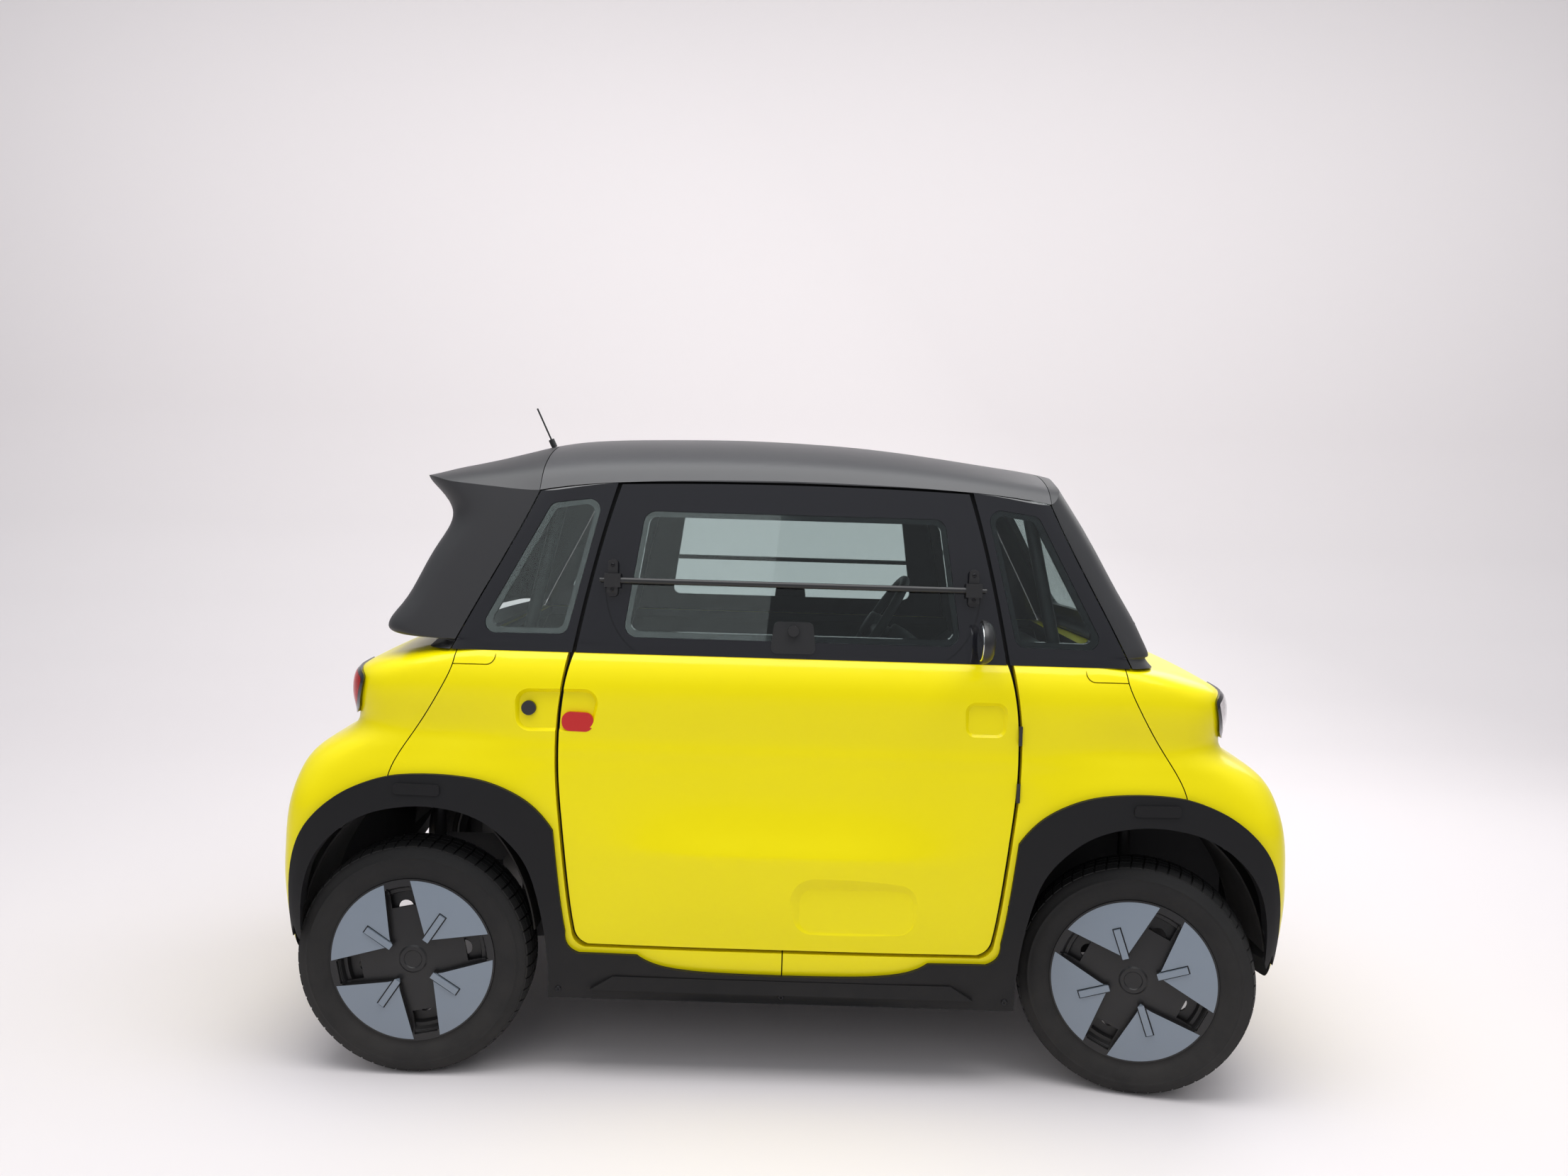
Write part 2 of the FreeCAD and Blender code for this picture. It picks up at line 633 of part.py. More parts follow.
def sheet_from(zone, toward, outside, inside):
    """A sheet of the cabin's shape within a zone, from a little outside it to a depth inside."""
    pieces = []
    for face in outer_skin(zone, toward):
        start = face.copy()
        start.translate(toward * outside)
        pieces.append(start.extrude(toward * -(outside + inside)))
    return pieces[0] if len(pieces) == 1 else fuse(pieces)


RIGHT = V(0, -1, 0)
AHEAD = V(0.86, 0, 0.51)
ASTERN = V(-0.86, 0, 0.51)
seat_depth = glass_thickness + seat_clearance

screen_hole = end_opening(545, 490, 1066, 1418, 60, 560, 1000)
screen_pane = end_opening(545 - seat_clearance, 490 - seat_clearance, 1066 + seat_clearance,
                          1418 - seat_clearance, 60 - seat_clearance, 560, 1000)
screen_ledge = end_opening(529, 474, 1082, 1402, 46, 560, 1000)
windscreen_surround = largest(front_part.cut([sheet_from(screen_hole, AHEAD, 2, seat_depth), screen_ledge]))
windscreen = sheet_from(screen_pane, AHEAD, 0, glass_thickness)
rear_hole = end_opening(480, 440, 1110, 1320, 50, -1100, -560)
rear_pane = end_opening(480 - 4 * seat_clearance, 440 - 4 * seat_clearance, 1110 + glass_thickness * 0.65,
                        1320 - seat_clearance, 50 - seat_clearance, -1100, -560)
rear_ledge = end_opening(464, 424, 1126, 1304, 36, -1100, -560)
rear_window_surround = largest(rear_part.cut(rear_hole))
rear_window = sheet_from(rear_pane, ASTERN, 0, glass_thickness)

door_side_line = [(505.5, belt_z), (480, 1150), (450, 1280), (411, 1415)]
door_head_line = [(411, 1415), (200, 1421.5), (0, 1423.5), (-200, 1421.5), (-411, 1415)]


def upper_door(offset):
    """The door's outline above the belt, moved out by offset, and carried a little below the belt."""
    front = shift_outline(door_side_line, -offset)
    head = shift_outline(door_head_line, -offset)
    head[0] = front[-1] = (front[-1][0], head[0][1])
    back = [(-x, z) for x, z in reversed(front)]
    head[-1] = back[0]
    foot, heel = front[0], back[-1]
    low_z = belt_z - 60
    return closed_shape([[(foot[0], low_z), foot], front, head, back, [heel, (heel[0], low_z)],
                         [(heel[0], low_z), (foot[0], low_z)]])


upper_door_face = upper_door(0.0)

band_zone = closed_shape([[(514.5, 960), (514.5, 1018)], [(514.5, 1018), (489, 1150), (459, 1280), (421, 1418)],
                          [(421, 1418), (510, 1409), (606 - seam_gap, 1394)],
                          [(606 - seam_gap, 1394), (648 - seam_gap, 1307), (695 - seam_gap, 1218),
                           (743 - seam_gap, 1129), (803 - seam_gap, 1012)],
                          [(803 - seam_gap, 1012), (803 - seam_gap, 960)], [(803 - seam_gap, 960), (514.5, 960)]])
quarter_hole = rounded_face([(576, 1367), (453, 1384), (529, 1060), (739, 1058)], 26)
quarter_ledge = rounded_face([(565, 1354), (469, 1369), (540, 1073), (716, 1071)], 18)
quarter_pane = rounded_face([(576 - 0.4, 1367 - 0.3), (453 + 0.4, 1384 - 0.3), (529 + 0.4, 1060 + 0.3),
                             (739 - 0.6, 1058 + 0.3)], 26)
band_blank = sheet_from(right_side(band_zone, 300), RIGHT, 0, upper_wall)
window_band_front_right = largest(band_blank.cut([sheet_from(right_side(quarter_hole), RIGHT, 2, seat_depth),
                                                  right_side(quarter_ledge)]))
window_band_rear_right = fore_aft(window_band_front_right)
quarter_window = sheet_from(right_side(quarter_pane), RIGHT, 0, glass_thickness)

door_hole = rounded_face([(-354, 1354), (355, 1354), (398, 1057), (-398, 1057)], 30)
door_ledge = rounded_face([(-343, 1340), (343, 1340), (383, 1071), (-383, 1071)], 20)
door_pane = rounded_face([(-353.6, 1353.7), (354.6, 1353.7), (397.6, 1057.3), (-397.6, 1057.3)], 30)
frame_blank = sheet_from(right_side(upper_door_face, 300), RIGHT, 0, upper_wall)
door_frame = largest(frame_blank.cut([sheet_from(right_side(door_hole), RIGHT, 2, seat_depth),
                                      right_side(door_ledge)]))
bar_z = 1190.0
pane_both = sheet_from(right_side(door_pane), RIGHT, 0, glass_thickness)
door_glass = solids(pane_both.cut(box((-FAR, -FAR, bar_z - 2), (FAR, FAR, bar_z + 2))))


def side_y(z):
    return -between(cabin_width, z)


flap_line = [(440, bar_z + 4), (438, 1150), (428, 1108), (404, 1062), (366, 1026)]
flap_strip = closed_shape([shift_outline(flap_line, 1.6), [shift_outline(flap_line, 1.6)[-1], shift_outline(flap_line, -1.6)[-1]],
                           shift_outline(flap_line, -1.6), [shift_outline(flap_line, 1.6)[0], shift_outline(flap_line, -1.6)[0]]])
flap_groove = [sheet_from(right_side(f, 300), RIGHT, 2, 3) for f in (flap_strip,)]
flap_groove.append(fore_aft(flap_groove[0]))
door_frame = largest(door_frame.cut(flap_groove))

bar_radius = 7.0
bar_half = 430.0
bar_y = side_y(bar_z) - 13
bar = tube_between((-bar_half, bar_y, bar_z), (bar_half, bar_y, bar_z), bar_radius)
bar_parts = [bar]
for side in (-1, 1):
    x = side * 424
    bar_parts.append(side_prism(rounded_face([(x - 13, 1152), (x + 13, 1152), (x + 11, 1239), (x - 11, 1239)], 9),
                                side_y(bar_z) - 4, bar_y - 1))
    bar_parts.append(box((x - 19, bar_y - 8, bar_z - 16), (x + 19, side_y(bar_z) - 4, bar_z + 16)))
    bar_parts.append(tube_between((x + side * 5, bar_y, bar_z), (x + side * 30, bar_y, bar_z), 5))
bracket_seat = cabin.common(box((-470, -FAR, 1140), (470, -560, 1250)))
window_bar_right = fuse(bar_parts)
for side in (-1, 1):
    low = box((side * 424 - 13, side_y(1152) - 12, 1160), (side * 424 + 13, side_y(bar_z) + 20, 1176))
    window_bar_right = window_bar_right.fuse(low)
window_bar_right = largest(window_bar_right.cut(bracket_seat))
latch_face = rounded_face([(-50, 1030), (58, 1030), (50, 1104), (-42, 1104)], 14)
latch_plate = sheet_from(right_side(latch_face, 300), RIGHT, 4, -seat_clearance)
knob_seat_y = side_y(1084) - 2
latch_knob = tube_between((4, knob_seat_y, 1084), (4, knob_seat_y - 15, 1084), 13)
window_latch_right = fuse([latch_plate, latch_knob])
window_bar_right = Part.makeCompound([window_bar_right, window_latch_right])


def door_pair(shape):
    return shape, half_turn(shape)


# Wheels

def revolve(points, curved=False):
    """A solid of revolution about Y from (radius, y) points."""
    loop = [V(r, y, 0) for r, y in points]
    face = polygon_face(loop)
    return face.revolve(V(0, 0, 0), V(0, 1, 0), 360)


# The wheel's own outside is toward -Y, as on the car's right.
half_width = tyre_width / 2
tyre_profile = [(rim_radius, -56), (rim_radius + 22, -68), (rim_radius + 50, -half_width), (tyre_radius - 13, -67),
                (tyre_radius, -48)]
tyre_loop = tyre_profile + [(r, -y) for r, y in reversed(tyre_profile)] + [(tyre_radius - 16, 50), (tyre_radius - 16, -50)]
tyre = revolve(tyre_loop)

rim_seat = rim_radius - seat_clearance
hub_inner = -24.0              # inner face of the wheel's hub, from its centre plane
hub_radius = 58.0
cover_edge = 70.0              # how far the cover's edge stands out from the wheel's centre plane
cover_floor = 52.0             # and the floor of its cross
petal_half_angle = 35.5
petal_apex = 60.0
petal_reach = cover_radius - 4
pocket_width = 56.0            # openings through the four spokes
pocket_height = 52.0
pocket_middle = 152.0
rim_loop = [(rim_seat, -62), (rim_seat, 62), (rim_seat - 6, 62), (rim_seat - 8, 56), (rim_seat - 24, 40),
            (rim_seat - 24, -24), (120, -30), (hub_radius, hub_inner), (0, hub_inner), (0, -42),
            (hub_radius, -42), (120, -38), (rim_seat - 24, -34), (rim_seat - 20, -46), (rim_seat - 6, -58),
            (rim_seat - 6, -62)]
rim = revolve(rim_loop)
cover_loop = [(0, -42.3), (hub_radius, -42.3), (hub_radius + 10, -cover_floor + 5), (rim_seat - 12, -cover_floor + 5),
              (rim_seat - 5, -62.3), (rim_seat + 2, -66.5), (cover_radius, -66.8), (cover_radius, -cover_edge),
              (rim_seat - 4, -cover_edge - 0.5), (rim_seat - 11, -cover_floor - 2), (rim_seat - 19, -cover_floor),
              (34, -cover_floor - 8), (30, -cover_floor - 11), (22, -cover_floor - 11), (20, -cover_floor - 9),
              (0, -cover_floor - 9)]
cover = revolve(cover_loop)
rim = largest(rim.cut([cover, moved(cover, 0, 0.8)]))


def polar(radius, degrees, y=0.0):
    turn = math.radians(degrees)
    return V(radius * math.cos(turn), y, radius * math.sin(turn))


def turned_about_axle(shape, degrees):
    copy = shape.copy()
    copy.rotate(V(0, 0, 0), V(0, -1, 0), degrees)
    return copy


petal_edges = [line(polar(petal_apex, 0), polar(petal_reach, petal_half_angle)),
               Part.Arc(polar(petal_reach, petal_half_angle), polar(petal_reach, 0),
                        polar(petal_reach, -petal_half_angle)).toShape(),
               line(polar(petal_reach, -petal_half_angle), polar(petal_apex, 0))]
petal_blank = side_prism(outline_face(petal_edges), -cover_floor + 3, -90)
dome = revolve([(0, -cover_floor + 2), (rim_seat - 21, -cover_floor + 2), (rim_seat - 12, -cover_floor + 0.5),
                (rim_seat - 6, -64), (rim_seat + 1, -68.2), (cover_radius, -68.4), (cover_radius, -cover_edge - 1),
                (petal_apex, -cover_edge - 5), (0, -cover_edge - 5)])
petal = petal_blank.common(dome)
bar_length = 70.0
dash = box((petal_apex - 2, -cover_edge - 8, -7.5), (petal_apex + bar_length, -cover_floor + 3, 7.5))
dash_groove = box((petal_apex - 4, -90, -10.5), (petal_apex + bar_length + 3, -cover_edge + 1, 10.5))
petal = petal.cut(dash_groove).fuse(dash)
petals = []
spoke_pockets = []
for quarter_turn in range(4):
    petals.append(turned_about_axle(petal, 45 + 90 * quarter_turn))
    hole = box((pocket_middle - pocket_height / 2, -90, -pocket_width / 2),
               (pocket_middle + pocket_height / 2, -10, pocket_width / 2))
    hole.rotate(V(0, 0, 0), V(0, -1, 0), 90 * quarter_turn)
    spoke_pockets.append(hole)
cover = fuse([cover] + petals).cut(spoke_pockets)
rim_holes = []
for quarter_turn in range(4):
    hole = tube_between((118, -90, 0), (118, 0, 0), 19)
    hole.rotate(V(0, 0, 0), V(0, -1, 0), 90 * quarter_turn)
    rim_holes.append(hole)
rim = rim.cut(rim_holes)
wheel_phase = {"front_right": -25.5, "rear_right": 11.5, "front_left": 20.0, "rear_left": 48.0}


def place_wheel(shape, x, side, steer=0.0, phase=0.0):
    """side is -1 on the right, +1 on the left."""
    placed = turned_about_axle(shape, phase)
    if side > 0:
        placed = half_turn(placed)
    placed.translate(V(0, side * steering_offset, 0))
    if steer:
        placed.rotate(V(0, 0, 0), V(0, 0, 1), steer)
    placed.translate(V(x, side * (track_half - steering_offset), tyre_radius))
    return placed


# Floor, frame and running gear

rail_low_z = 204.0
rail_height = 40.0
rail_middle_z = rail_low_z + rail_height / 2
tub_low_z = rail_low_z + rail_height + seat_clearance
tub_wall = 6.0
floor_z = tub_low_z + tub_wall


def tray(x0, x1, half, top):
    return (box((x0, -half, tub_low_z), (x1, half, top)),
            box((x0 + tub_wall, -half + tub_wall, floor_z), (x1 - tub_wall, half - tub_wall, top + 400)))


middle_tray = tray(-520, 520, 612, 308)
long_tray = tray(-640, 1120, 352, 660)
seat_relief = box((-562, -360, 540), (-500, 360, 700))
post_x = 545.0
cross_tube_z = 590.0
cross_tube_radius = 15.0
cross_tube_hole = tube_between((post_x, -400, cross_tube_z), (post_x, 400, cross_tube_z),
                               cross_tube_radius + seat_clearance)
floor_pan = fuse([middle_tray[0], long_tray[0]])
floor_pan = floor_pan.cut([middle_tray[1], long_tray[1], seat_relief, cross_tube_hole])

rail_width = 36.0
upper_rail_z = 692.0
upper_rail_radius = 16.0
frame_members = []
for side in (-1, 1):
    y = side * rail_y
    frame_members.append(bar_between((-563, y, rail_middle_z), (563, y, rail_middle_z), rail_width, rail_height))
    for end in (-1, 1):
        foot = (end * post_x, side * rail_y, rail_middle_z)
        knee = (end * post_x, side * rail_y, upper_rail_z)
        belt = (end * 640, side * 572, 1000)
        head = (end * 560, side * 520, 1380)
        frame_members.append(tube_between(foot, knee, post_radius))
        frame_members.append(tube_between(knee, belt, 17))
        frame_members.append(tube_between(belt, head, 16))
        frame_members.append(tube_between(knee, (end * 1100, side * 300, upper_rail_z), upper_rail_radius))
    frame_members.append(tube_between((-575, side * 520, 1380), (575, side * 520, 1380), 15))
for end in (-1, 1):
    frame_members.append(tube_between((end * post_x, -rail_y, cross_tube_z), (end * post_x, rail_y, cross_tube_z),
                                      cross_tube_radius))
    frame_members.append(tube_between((end * 560, -535, 1380), (end * 560, 535, 1380), 14))
    frame_members.append(bar_between((end * 480, -rail_y, rail_middle_z), (end * 480, rail_y, rail_middle_z), 44,
                                     rail_height))
    frame_members.append(tube_between((end * 1090, -500, upper_rail_z), (end * 1090, 500, upper_rail_z), 17))
frame_tubes = []
for member in frame_members:
    for placed in frame_tubes:
        if member.BoundBox.intersect(placed.BoundBox):
            member = largest(member.cut(placed))
    frame_tubes.append(member)
chassis_frame = Part.makeCompound(frame_tubes)
hinges_seated = []
for hinge in hinges_right.Solids:
    tubes = [moved(tube, 0, -seat_clearance) for tube in frame_tubes if tube.BoundBox.intersect(hinge.BoundBox)]
    hinges_seated.append(largest(hinge.cut(tubes)))
hinges_right = Part.makeCompound(hinges_seated)

# Door jambs: a frame behind each door's gap, on the posts, which the shut door's seal meets
jamb_lap = 13.0                # how far the jamb reaches each way from the gap
jamb_clearance = 6.0           # between the door's inside and the jamb
jamb_depth = 16.0
jamb_y = -cabin_hole_half_y + jamb_clearance
jamb_face = [(jamb_y, 300), (jamb_y, belt_z)]
jamb_face += [(side_y(z) + upper_wall + jamb_clearance, z) for z in (belt_z + 60, 1150, 1280, 1440)]
jamb_back = [(y + jamb_depth, z) for y, z in reversed(jamb_face)]
jamb_sheet = polygon_face([V(-700, y, z) for y, z in jamb_face + jamb_back]).extrude(V(1400, 0, 0))
jamb_outside = fuse([side_prism(door_outline(jamb_lap), -400, -FAR), side_prism(upper_door(jamb_lap), -400, -FAR)])
jamb_inside = fuse([side_prism(door_outline(-jamb_lap), 0, -FAR), side_prism(upper_door(-jamb_lap), 0, -FAR)])
door_jamb_right = jamb_sheet.common(jamb_outside).cut(jamb_inside)
door_jamb_right = largest(door_jamb_right.cut([tube for tube in frame_tubes
                                               if tube.BoundBox.intersect(door_jamb_right.BoundBox)]
                                              + [hinges_right]))

# Steering knuckles and axles
arm_radius = 18.0
arm_z = tub_low_z - seat_clearance - arm_radius
stub_reach = steering_offset - hub_inner - seat_clearance
knuckle = fuse([tube_between((0, 0, arm_z + arm_radius + seat_clearance - tyre_radius), (0, 0, 90), 16),
                tube_between((0, -stub_reach, 0), (0, 30, 0), 20)])


def place_knuckle(shape, side, steer):
    placed = shape.copy() if side < 0 else mirrored(shape)
    placed.rotate(V(0, 0, 0), V(0, 0, 1), steer)
    placed.translate(V(axle_front_x, side * (track_half - steering_offset), tyre_radius))
    return placed


# Lamps at the four corners: a square housing let into the nose panel, with a round lens

lamp_outline = [(1000, 948), (1018, 872), (1032, 851), (1110, 851), (1110, 980), (1036, 974)]
lamp_in_y = 452.0
lamp_proud = 7.0
lamp_border = 13.0


def corner_prism(points, radius, inner_y):
    return side_prism(rounded_face(points, radius), -inner_y, -760)


def inset_outline(points, amount):
    """A convex outline drawn in towards its middle."""
    mx = sum(p[0] for p in points) / len(points)
    mz = sum(p[1] for p in points) / len(points)
    drawn = []
    for x, z in points:
        run = math.hypot(x - mx, z - mz)
        drawn.append((x - (x - mx) / run * amount, z - (z - mz) / run * amount))
    return drawn


proud_body = moved(body, lamp_proud, -lamp_proud * 0.7)
lamp_hole = corner_prism(lamp_outline, 11, lamp_in_y)
lamp_blank = corner_prism(inset_outline(lamp_outline, seat_clearance), 11, lamp_in_y + seat_clearance)
lens_outline = inset_outline(lamp_outline, lamp_border)
lens_pocket = corner_prism(lens_outline, 9, lamp_in_y + lamp_border)
lens_blank = corner_prism(inset_outline(lens_outline, seat_clearance), 9, lamp_in_y + lamp_border + seat_clearance)
lamp_depth = moved(body, lamp_proud - 30, 20)
lamp_block = largest(proud_body.common(lamp_blank).cut(moved(body, -42, 30)))
lamp_front_right = largest(lamp_block.cut(lens_pocket.cut(lamp_depth)))
lens_front_right = largest(proud_body.common(lens_blank).cut(moved(body, lamp_proud - 4, -lamp_proud * 0.7 + 3)))
nose_panel = largest(nose_panel.cut([lamp_hole, mirrored(lamp_hole)]))
tail_panel = half_turn(nose_panel)

# Mirror on the door's front upper corner

mirror_x0, mirror_z0 = 440.0, 1080.0


def ellipse_wire(x, half_y, half_z):
    ellipse = Part.Ellipse(V(x, half_y, 0), V(x, 0, half_z), V(x, 0, 0))
    return Part.Wire(ellipse.toShape())


mirror_sections = ((-8, 62, 50), (2, 61, 49), (12, 54, 43), (19, 40, 31), (24, 16, 12))
mirror_shell = Part.makeLoft([ellipse_wire(x, a, b) for x, a, b in mirror_sections], True, False)
mirror_shell.translate(V(mirror_x0, -718, mirror_z0))
mirror_arm = tube_between((mirror_x0 + 6, -628.4, 1050), (mirror_x0 + 6, -700, 1072), 9)
mirror_right = fuse([mirror_shell, mirror_arm])

# Cabin fittings

def side_solid(points, low_y, high_y):
    """A polygon in XZ run across the car."""
    return polygon_face(xz(points, low_y)).extrude(V(0, high_y - low_y, 0))


seat_y = 270.0
seat_half = 205.0
seat_frame = side_solid([(-70, floor_z + seat_clearance), (-70, 400), (-420, 372), (-560, 1000), (-600, 996), (-470, 330), (-470, floor_z + seat_clearance)],
                        -seat_half, seat_half)
seat_pad = side_solid([(-50, 396), (-60, 470), (-390, 452), (-520, 960), (-556, 963), (-425, 368)],
                      -seat_half + 15, seat_half - 15)


seat_seat = seat_frame.copy()
seat_seat.translate(V(0.45, 0, 0.45))
seat_pad = largest(seat_pad.cut(seat_seat))


def two(shape, y):
    a, b = shape.copy(), shape.copy()
    a.translate(V(0, y, 0))
    b.translate(V(0, -y, 0))
    return Part.makeCompound([a, b])


seat_frames = two(seat_frame, seat_y)
seat_pads = two(seat_pad, seat_y)
dash_half = 538.0
dashboard = side_solid([(690, 960), (745, 985), (500, 985), (430, 930), (450, 840), (560, 800), (690, 820)], -dash_half, dash_half)
column_hole = 30.0

wheel_x = 250.0               # centre of the steering wheel
wheel_y = 300.0
wheel_z = 1010.0
column_tilt_deg = 32.0
column_tilt = math.radians(column_tilt_deg)
column_way = V(math.cos(column_tilt), 0, -math.sin(column_tilt))
steering_wheel_radius = 168.0
ring = Part.makeTorus(steering_wheel_radius, 14, V(0, 0, 0), column_way)
boss = Part.makeCylinder(42, 34, column_way * -12, column_way)
spokes = [tube_between((0, 0, 0), tuple(V(0, side, 0) * steering_wheel_radius), 13) for side in (-1, 1)]
across_up = V(math.sin(column_tilt), 0, math.cos(column_tilt))
spokes.append(tube_between((0, 0, 0), tuple(across_up * -steering_wheel_radius), 13))
steering_wheel = fuse([ring, boss] + spokes)
steering_wheel.translate(V(wheel_x, wheel_y, wheel_z))
column_start = V(wheel_x, wheel_y, wheel_z) + column_way * 22.3
steering_column = Part.makeCylinder(26, 330, column_start, column_way)
dashboard = dashboard.cut(Part.makeCylinder(26 + seat_clearance, 420, column_start, column_way))

# Axles and suspension

strut_top = upper_rail_z - upper_rail_radius - seat_clearance


def strut_y(x):
    """Where the frame's upper side member runs at a station along the car."""
    return rail_y - (abs(x) - post_x) / (1100 - post_x) * (rail_y - 300)


front_axle = [tube_between((axle_front_x, -568, arm_z), (axle_front_x, 568, arm_z), arm_radius)]
rear_reach_y = track_half + hub_inner - seat_clearance
rear_axle = [tube_between((axle_rear_x, -rear_reach_y, tyre_radius), (axle_rear_x, rear_reach_y, tyre_radius), 24),
             box((axle_rear_x - 110, -160, tyre_radius - 50), (axle_rear_x + 110, 120, tyre_radius + 110))]
for side in (-1, 1):
    y = side * strut_y(axle_front_x)
    front_axle.append(tube_between((axle_front_x, y, arm_z), (axle_front_x, y, strut_top), 15))
    y = side * strut_y(axle_rear_x)
    rear_axle.append(tube_between((axle_rear_x, y, tyre_radius), (axle_rear_x, y, strut_top), 15))
front_axle = fuse(front_axle)
rear_axle = fuse(rear_axle)

# Wheelhouse liners: half an oval over each wheel, from the floor's side to the fender
liner_half_length = {1: 300.0, -1: 282.0}      # longer in front, where the wheel steers
liner_outer_y = 610.0
liner_top_z = 664.0
liner_wall = 4.0
liner_low_z = 345.0


def liner_at(x, inner_y):
    half_length = liner_half_length[1 if x > 0 else -1]
    ovals = []
    for wall in (liner_wall, 0.0):
        oval = Part.Ellipse(V(x, inner_y, liner_top_z + wall), V(x + half_length + wall, inner_y, tyre_radius),
                            V(x, inner_y, tyre_radius))
        ovals.append(Part.Face(Part.Wire(oval.toShape())).extrude(V(0, -liner_outer_y - inner_y, 0)))
    shell = ovals[0].cut(ovals[1])
    shell = shell.cut(box((x - 400, -700, -400), (x + 400, 0, liner_low_z)))
    strut = abs(strut_y(x))
    shell = shell.cut(tube_between((x, -strut, liner_low_z), (x, -strut, 800), 15 + seat_clearance))
    return largest(shell.cut([tube for tube in frame_tubes if tube.BoundBox.intersect(shell.BoundBox)]))


liner_front = liner_at(axle_front_x, -352 - seat_clearance)
liner_rear = liner_at(axle_rear_x, -380)
liners = [liner_front, liner_rear, mirrored(liner_front), mirrored(liner_rear)]

# Aerial: a thin rod raked back from its foot on the roof's rear corner
aerial_foot = (-620, -300, 1505)
aerial_collar = (-629, -300, 1524)
aerial_tip = (-666, -300, 1602)
aerial = fuse([tube_between(aerial_foot, aerial_collar, 7.5), tube_between(aerial_foot, aerial_tip, 2.2)])
aerial = largest(aerial.cut(rear_window_surround))

os.makedirs("parts", exist_ok=True)


def save(name, shape):
    shape.exportStep("parts/" + name + ".step")


save("nose_panel", nose_panel)
save("tail_panel", tail_panel)
save("quarter_panel_front_right", quarter_front_right)
save("quarter_panel_rear_right", quarter_rear_right)
save("quarter_panel_front_left", quarter_front_left)
save("quarter_panel_rear_left", quarter_rear_left)
save("door_shell_right", door_shell_right)
save("door_shell_left", half_turn(door_shell_right))
save("roof_panel", roof_panel)
save("door_jambs", Part.makeCompound([door_jamb_right, half_turn(door_jamb_right)]))
save("windscreen_surround", windscreen_surround)
save("windscreen", windscreen)
save("rear_window_surround", rear_window_surround)
save("rear_window", rear_window)
bands_right = Part.makeCompound([window_band_front_right, window_band_rear_right])
save("window_band_right", bands_right)
save("window_band_left", mirrored(bands_right))
panes = [quarter_window, fore_aft(quarter_window), mirrored(quarter_window), half_turn(quarter_window)]
save("quarter_windows", Part.makeCompound(panes))
save("door_window_frame_right", door_frame)
save("door_window_frame_left", half_turn(door_frame))
save("door_glass_right", door_glass)
save("door_glass_left", half_turn(door_glass))
save("window_bar_right", window_bar_right)
save("window_bar_left", half_turn(window_bar_right))
save("side_trim_right", side_trim_right)
save("side_trim_left", mirrored(side_trim_right))
save("floor_pan", floor_pan)
save("chassis_frame", chassis_frame)
for name, x, side in (("front_right", axle_front_x, -1), ("front_left", axle_front_x, 1),
                      ("rear_right", axle_rear_x, -1), ("rear_left", axle_rear_x, 1)):
    steer = steer_at_rest if x > 0 else 0.0
    save("tyre_" + name, place_wheel(tyre, x, side, steer))
    wheel_pieces = [place_wheel(piece, x, side, steer, wheel_phase[name]) for piece in (rim, cover)]
    save("wheel_" + name, Part.makeCompound(wheel_pieces))
save("knuckle_right", place_knuckle(knuckle, -1, steer_at_rest))
save("knuckle_left", place_knuckle(knuckle, 1, steer_at_rest))
save("headlamps", Part.makeCompound([lamp_front_right, mirrored(lamp_front_right)]))
save("headlamp_lenses", Part.makeCompound([lens_front_right, mirrored(lens_front_right)]))
save("tail_lamps", half_turn(Part.makeCompound([lamp_front_right, mirrored(lamp_front_right)])))
save("tail_lamp_lenses", half_turn(Part.makeCompound([lens_front_right, mirrored(lens_front_right)])))
save("door_mirror_right", mirror_right)
save("door_mirror_left", mirrored(mirror_right))
save("door_pull_right", door_pull_right)
save("door_pull_left", half_turn(door_pull_right))
save("door_locks", Part.makeCompound([lock_barrel, half_turn(lock_barrel)]))
save("wheelhouse_liners", Part.makeCompound(liners))
save("aerial", aerial)
save("seat_frames", seat_frames)
save("seat_pads", seat_pads)
save("dashboard", dashboard)
save("steering_wheel", steering_wheel)
save("steering_column", steering_column)
save("front_axle", front_axle)
save("rear_axle", rear_axle)
hinges_right = solids(hinges_right)
save("door_hinges", Part.makeCompound([hinges_right, half_turn(hinges_right)]))
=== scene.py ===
import json
import math

import bmesh
import bpy
from mathutils import Matrix, Vector
from mathutils.bvhtree import BVHTree


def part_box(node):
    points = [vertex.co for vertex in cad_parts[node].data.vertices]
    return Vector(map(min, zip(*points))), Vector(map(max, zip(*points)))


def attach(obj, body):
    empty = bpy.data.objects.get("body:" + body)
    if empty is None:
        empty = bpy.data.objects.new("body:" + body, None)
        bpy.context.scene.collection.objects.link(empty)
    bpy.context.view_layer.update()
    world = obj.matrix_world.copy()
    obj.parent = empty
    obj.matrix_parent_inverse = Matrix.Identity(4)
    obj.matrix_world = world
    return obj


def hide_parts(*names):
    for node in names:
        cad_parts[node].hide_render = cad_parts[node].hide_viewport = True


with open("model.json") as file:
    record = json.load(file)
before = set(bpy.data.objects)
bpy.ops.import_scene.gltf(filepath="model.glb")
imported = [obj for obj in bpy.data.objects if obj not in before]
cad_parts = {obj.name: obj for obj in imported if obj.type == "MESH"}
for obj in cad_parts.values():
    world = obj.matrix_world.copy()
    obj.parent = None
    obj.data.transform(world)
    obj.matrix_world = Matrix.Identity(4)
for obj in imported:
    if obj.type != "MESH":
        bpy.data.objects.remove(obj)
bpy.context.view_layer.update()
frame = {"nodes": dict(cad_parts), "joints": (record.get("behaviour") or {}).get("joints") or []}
nodes = frame["nodes"]
scene = bpy.context.scene
scene.view_settings.view_transform = "Standard"

